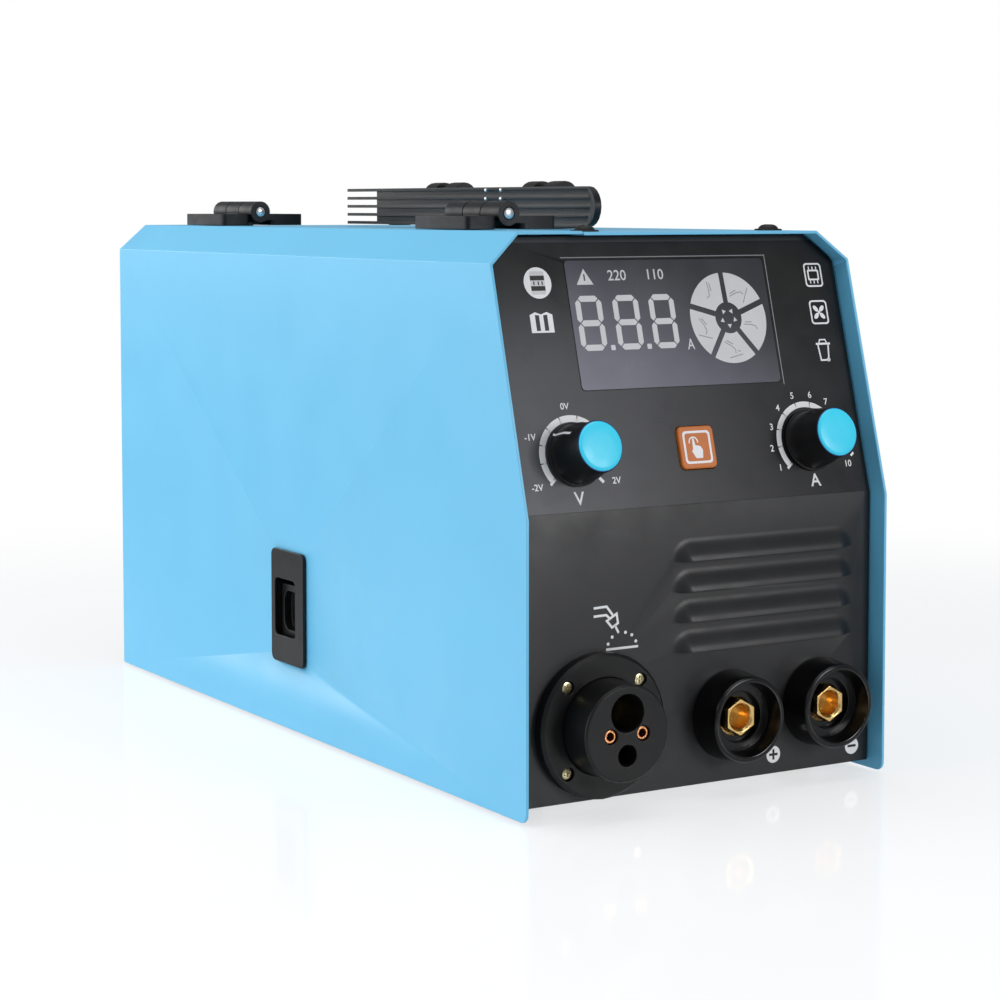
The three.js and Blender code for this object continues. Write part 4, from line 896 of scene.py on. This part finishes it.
def torch_socket():
    at = front(-63.0, 43.5)
    from_node("torch_ring", "torch_flange", bevel=0.4, steps=3)
    from_node("torch_plug_body", "torch_core", bevel=0.45, steps=3)
    rim = [(22.2, 26.8), (22.3, 26.95), (23.0, 26.95), (23.2, 26.8)]
    piece("torch_face_rim", lathe(rim, 96, closed=True), at, BLACK, "case")
    for side in ("left", "right"):
        from_node(f"torch_{side}_sleeve", f"torch_contact_{side}", COPPER, bevel=0.15)
    from_node("torch_brass_inlet", "torch_wire_inlet", BRASS, bevel=0.3)
    places = [moved(at, sx * 21.3, sy * 21.3, 5.7) for sx in (-1, 1) for sy in (-1, 1)]
    screws("torch_screw", flat_head(2.9), places, GOLD_ZINC, "case")


def torch_icon():
    """A hand torch over a seam inside a dotted arch, as a line drawing."""
    lines = [([(-65.3, 101.4), (-57.7, 101.7), (-54.0, 97.2)], False),
             ([(-65.3, 97.3), (-57.9, 97.5), (-56.0, 95.8)], False),
             ([(-57.5, 94.5), (-51.7, 97.7), (-50.9, 92.9), (-54.4, 91.0)], True),
             ([(-52.6, 91.8), (-50.5, 88.0)], False),
             ([(-57.9, 80.2), (-38.8, 80.3)], False)]
    shapes = [stroke(points, 1.2, *ON_SHEET, closed=closed) for points, closed in lines]
    dots = [(-56.7, 82.9), (-54.3, 86.2), (-46.4, 87.9), (-42.6, 86.3), (-40.2, 83.0)]
    shapes += [prism(circle(0.85, x, z, 16), *ON_SHEET) for x, z in dots]
    piece("torch_icon", joined(*shapes), front(0, 0), WHITE_INK)


# ------------------------------------------------------------------ wire feeder and spool

WIRE_X = -63.0
WIRE_Z = 53.7
SPOOL_AXIS = across(-20.0, 370.0, 150.0)
WOUND_R = 86.0


def rod_between(a, b, r):
    """A straight rod between two points of the case, as local verts and faces in CASE."""
    a, b = Vector(a), Vector(b)
    turn = (b - a).to_track_quat("Z", "Y").to_matrix().to_4x4()
    verts, faces = lathe([(0, 0), (r, 0), (r, (b - a).length), (0, (b - a).length)], 16)
    return [Matrix.Translation(a) @ turn @ Vector(v) for v in verts], faces


def feeder():
    for name, node, width in (("feeder_motor", "feed_motor", 0.8), ("feeder_plate", "feed_plate", 0.5),
                              ("feed_roll", "drive_roll", 0.3), ("swing_arm", "pressure_arm", 0.5),
                              ("press_roll", "pressure_roll", 0.3)):
        from_node(name, node, bevel=width)
    at = CASE @ Matrix.Translation((WIRE_X, 98, 42))
    grip = [(0, 50), (8, 50), (9, 52), (9, 65), (8.4, 67), (7, 68), (0, 68)]
    notches = [shifted(prism(circle(1.1, 9.4, 0, 12), 49, 69), turn=30 * k) for k in range(12)]
    knob_shape = carved(lathe(grip, 72), joined(*notches))
    piece("tension_grip", knob_shape, at, RED, "tensioner", node="tension_screw",
          bevel=0.3)
    piece("tension_stem", lathe([(0, 4.5), (3, 4.5), (3, 50.2), (0, 50.2)], 32), at, STEEL,
          "tensioner")
    eye = lathe([(2.4, -3.4), (5.0, -3.4), (5.4, -3.0), (5.4, 3.0), (5.0, 3.4), (2.4, 3.4)], 40,
                closed=True)
    piece("tension_eye", eye, at @ Matrix.Rotation(math.pi / 2, 4, "Y"), STEEL, "tensioner")
    coils = []
    for i in range(9):
        coils.append(shifted(lathe([(3.4, 0), (4.6, 0.6), (5.4, 1.8), (4.4, 1.4)], 32, closed=True),
                             z=30 + 2.1 * i))
    piece("tension_spring", joined(*coils), at, STEEL, "tensioner", smooth=60)


def spool():
    ring = [(26, -66), (92, -66), (92.6, -65.4), (94.4, -65.4), (95, -66), (98.4, -66),
            (99, -65.4), (99, -63.6), (98.4, -63), (46, -62), (44, -60), (44, -18), (46, -16),
            (98.4, -15), (99, -14.4), (99, -12.6), (98.4, -12), (26, -12)]
    piece("reel", lathe(ring, 128, closed=True), SPOOL_AXIS, SPOOL_BLACK, "spool",
          node="wire_spool")
    wound, pitch = [(43.5, -61.6)], 0.92
    for i in range(49):
        z = -61.4 + pitch * i
        wound += [(WOUND_R, z), (WOUND_R + 0.35, z + pitch / 2)]
    wound += [(WOUND_R, -61.4 + pitch * 49), (43.5, -16.4)]
    piece("wound_wire", lathe(wound, 96, closed=True), SPOOL_AXIS, COPPER, "spool", smooth=80)
    from_node("reel_hub", "spool_hub", bevel=0.5)
    from_node("reel_nut", "spool_nut", bevel=1.0, steps=3)
    entry = (WIRE_X, 178.0, WIRE_Z)
    reach = math.hypot(192.0, 96.3)
    swing = math.atan2(96.3, 192.0) - math.asin((WOUND_R + 1) / reach)
    length = math.sqrt(reach ** 2 - (WOUND_R + 1) ** 2)
    leave = (WIRE_X, 178.0 + length * math.cos(swing), WIRE_Z + length * math.sin(swing))
    runs = [rod_between((WIRE_X, 56.0, WIRE_Z), entry, 0.45), rod_between(entry, leave, 0.45)]
    piece("free_wire", joined(*runs), CASE, COPPER)


# ------------------------------------------------------------------ electronics


def block_at(x0, x1, y0, y1, z0, z1):
    return box_shape(x0, x1, y0, y1, z0, z1)


def power_board():
    piece("power_board_sheet", block_at(-12, 100, 176, 452, 104, 105.6), CASE, BOARD, "case",
          node="main_board", bevel=0.3)
    can = [(0, 105.6), (16.6, 105.6), (17, 106.2), (17, 107.6), (16.5, 108.2), (17, 108.8),
           (17, 148.9), (16.4, 149.8), (15.4, 149.9), (15.0, 149.3), (0, 149.3)]
    for i, (x, y) in enumerate((x, y) for x in (10, 52) for y in (210, 255)):
        piece(f"capacitor_{i + 1}", lathe(can, 48), CASE @ Matrix.Translation((x, y, 0)), CAP_SHADE_AND_CAN_BLUE,
              "case")
    piece("rectifier", block_at(-8, 20, 310, 350, 105.6, 122), CASE, BLACK, "case", bevel=0.8)
    piece("relay", block_at(30, 96, 320, 372, 105.6, 128), CASE, LCD_DARK, "case", bevel=0.8)
    chips = [block_at(x, x + 9, y, y + 14, 105.6, 108.4) for x in (40, 60, 80) for y in (400, 425)]
    piece("board_chips", joined(*chips), CASE, BLACK, "case", bevel=0.4)


def panel_board():
    piece("panel_board_sheet", block_at(-92, 92, 8, 128, -14, -12.4), PANEL, BOARD, "case",
          node="control_board", bevel=0.3)
    piece("display_module", block_at(-60, 60, 63, 126, -12.4, -2.4), PANEL, LCD_DARK, "case",
          bevel=0.5)
    plugs = [block_at(-88, -70, 90, 120, -24, -14), block_at(40, 62, 8, 16, -23, -14),
             block_at(-62, -40, 8, 16, -23, -14)]
    piece("board_plugs", joined(*plugs), PANEL, WHITE_INK, "case", bevel=0.4)
    pot = [(3.3, -12.4), (7.6, -12.4), (8, -12), (8, -2.5), (7.6, -2.1), (4.5, -2.1), (4.5, 1.2),
           (3.3, 1.2)]
    for name, x in KNOB_X.items():
        piece(f"{name}_pot", lathe(pot, 48, closed=True), moved(PANEL, x, KNOB_U), ALUMINIUM,
              "case")


def choke():
    core = [block_at(20, 92, y0, y0 + 5.8, 12, 76) for y0 in [176 + 6 * i for i in range(10)]]
    window = block_at(32, 80, 170, 240, 24, 64)
    sheets = [carved(c, window) for c in core]
    piece("choke_core", joined(*sheets), CASE, STEEL, "case", node="transformer", bevel=0.2)
    turns = []
    for i in range(14):
        y = 186.2 + 2.9 * i
        turns.append(shifted(band(rounded(46, 38, 9), rounded(15, 36, 3), 0, 2.7), z=y))
    up = Matrix.Translation((56, 0, 44)) @ Matrix.Rotation(math.pi / 2, 4, "X")
    flip = Matrix.Scale(-1, 4, (0, 0, 1))
    piece("choke_winding", joined(*turns), CASE @ up @ flip, AMBER, "case",
          bevel=0.9)
    piece("choke_post", block_at(49.2, 62.8, 176, 236, 12, 76), CASE, STEEL, "case", bevel=0.3)


def electronics():
    from_node("cooling_fins", "heatsink", bevel=0.3)
    power_board()
    panel_board()
    choke()


# ------------------------------------------------------------------ floor, light and camera


FLOOR_RADIUS = 2.6
FADE_START, FADE_END = 0.42, 1.0  # metres from the middle of the floor
FLOOR_ALPHA = 0.55
CAMERA_AT = (-729.67, -1000.53, 299.65)
CAMERA_TILT, CAMERA_TURN = 85.954, -31.116
LIGHTS_AIM = (0, 0, 0.15)


def floor():
    """A pale disc that fades out away from the machine, with a little light of its own."""
    mesh = bpy.data.meshes.new("floor")
    b = bmesh.new()
    bmesh.ops.create_circle(b, cap_ends=True, segments=128, radius=FLOOR_RADIUS)
    b.to_mesh(mesh)
    b.free()
    thing = bpy.data.objects.new("floor", mesh)
    bpy.context.scene.collection.objects.link(thing)
    n = Nodes("studio_floor")
    away = n.add("VectorMath", Vector=n.where)
    away.operation = "LENGTH"
    fade = n.add("MapRange", Value=away.outputs["Value"])
    fade.interpolation_type = "SMOOTHSTEP"
    fade.inputs["From Min"].default_value = FADE_START
    fade.inputs["From Max"].default_value = FADE_END
    fade.inputs["To Min"].default_value = FLOOR_ALPHA
    fade.inputs["To Max"].default_value = 0.0
    cloud = n.noise(0.5, 3.0)
    n.set(
        Base_Color=n.ramp(cloud, (0.3, (0.86, 0.88, 0.90)), (0.7, (0.88, 0.90, 0.92))),
        Roughness=n.span(n.noise(0.3), 0.07, 0.09),
        Alpha=fade.outputs["Result"],
        Specular_IOR_Level=0.6,
        Emission_Color=(1, 1, 1, 1),
        Emission_Strength=0.3,
    )
    mesh.materials.append(n.material)


def world():
    """White where the camera sees it, and a dimmer, cooler fill as a light."""
    made = bpy.data.worlds.new("studio")
    made.use_nodes = True
    tree = made.node_tree
    tree.nodes.clear()
    seen, soft = tree.nodes.new("ShaderNodeBackground"), tree.nodes.new("ShaderNodeBackground")
    seen.inputs["Color"].default_value = (1, 1, 1, 1)
    soft.inputs["Color"].default_value = (0.93, 0.96, 1, 1)
    soft.inputs["Strength"].default_value = 0.36
    path = tree.nodes.new("ShaderNodeLightPath")
    mix = tree.nodes.new("ShaderNodeMixShader")
    out = tree.nodes.new("ShaderNodeOutputWorld")
    tree.links.new(path.outputs["Is Camera Ray"], mix.inputs["Fac"])
    tree.links.new(soft.outputs[0], mix.inputs[1])
    tree.links.new(seen.outputs[0], mix.inputs[2])
    tree.links.new(mix.outputs[0], out.inputs["Surface"])
    bpy.context.scene.world = made


def softbox(name, azimuth, elevation, distance, size, power):
    """An area light facing the machine. Azimuth 0 is in front, and 90 is at its right."""
    light = bpy.data.lights.new(name, "AREA")
    light.shape = "RECTANGLE"
    light.size, light.size_y = size
    light.energy = power
    thing = bpy.data.objects.new(name, light)
    bpy.context.scene.collection.objects.link(thing)
    a, e = math.radians(azimuth), math.radians(elevation)
    way = Vector((math.sin(a) * math.cos(e), -math.cos(a) * math.cos(e), math.sin(e)))
    thing.location = way * distance + Vector(LIGHTS_AIM)
    thing.rotation_euler = way.to_track_quat("Z", "Y").to_euler()


def lights():
    softbox("side_softbox", -104, 14, 1.7, (1.8, 1.2), 18)
    softbox("rear_softbox", -152, 16, 1.8, (1.0, 0.7), 6)
    softbox("top_softbox", -10, 84, 1.6, (1.6, 1.6), 12)
    softbox("front_softbox", 20, 12, 2.2, (0.6, 0.5), 13)


def camera():
    data = bpy.data.cameras.new("camera")
    data.sensor_width = 36
    data.lens = 89.29
    data.shift_y = -0.12
    thing = bpy.data.objects.new("camera", data)
    bpy.context.scene.collection.objects.link(thing)
    thing.location = CASE @ Vector(CAMERA_AT)
    thing.rotation_euler = (math.radians(CAMERA_TILT), 0, math.radians(CAMERA_TURN))
    bpy.context.scene.camera = thing


# ------------------------------------------------------------------ the machine

dress_case()
dress_pins()
cover_screws()
grip_rivets()
from_node("overlay_sheet", "control_overlay", bevel=0.15)
from_node("display_glass", "display_window", bevel=0.2)
display_marks()
panel_icons()
dial_marks()
knob("voltage", 138)
knob("current", 30)
mode_key()
torch_socket()
torch_icon()
output_socket("positive", 17.8, 40.0)
output_socket("negative", 75.0, 41.0)
polarity_marks()
feeder()
spool()
electronics()
from_node("latch_return_spring", "latch_spring", bevel=0, smooth=60)

floor()
world()
lights()
camera()
bpy.context.scene.view_settings.view_transform = "Standard"
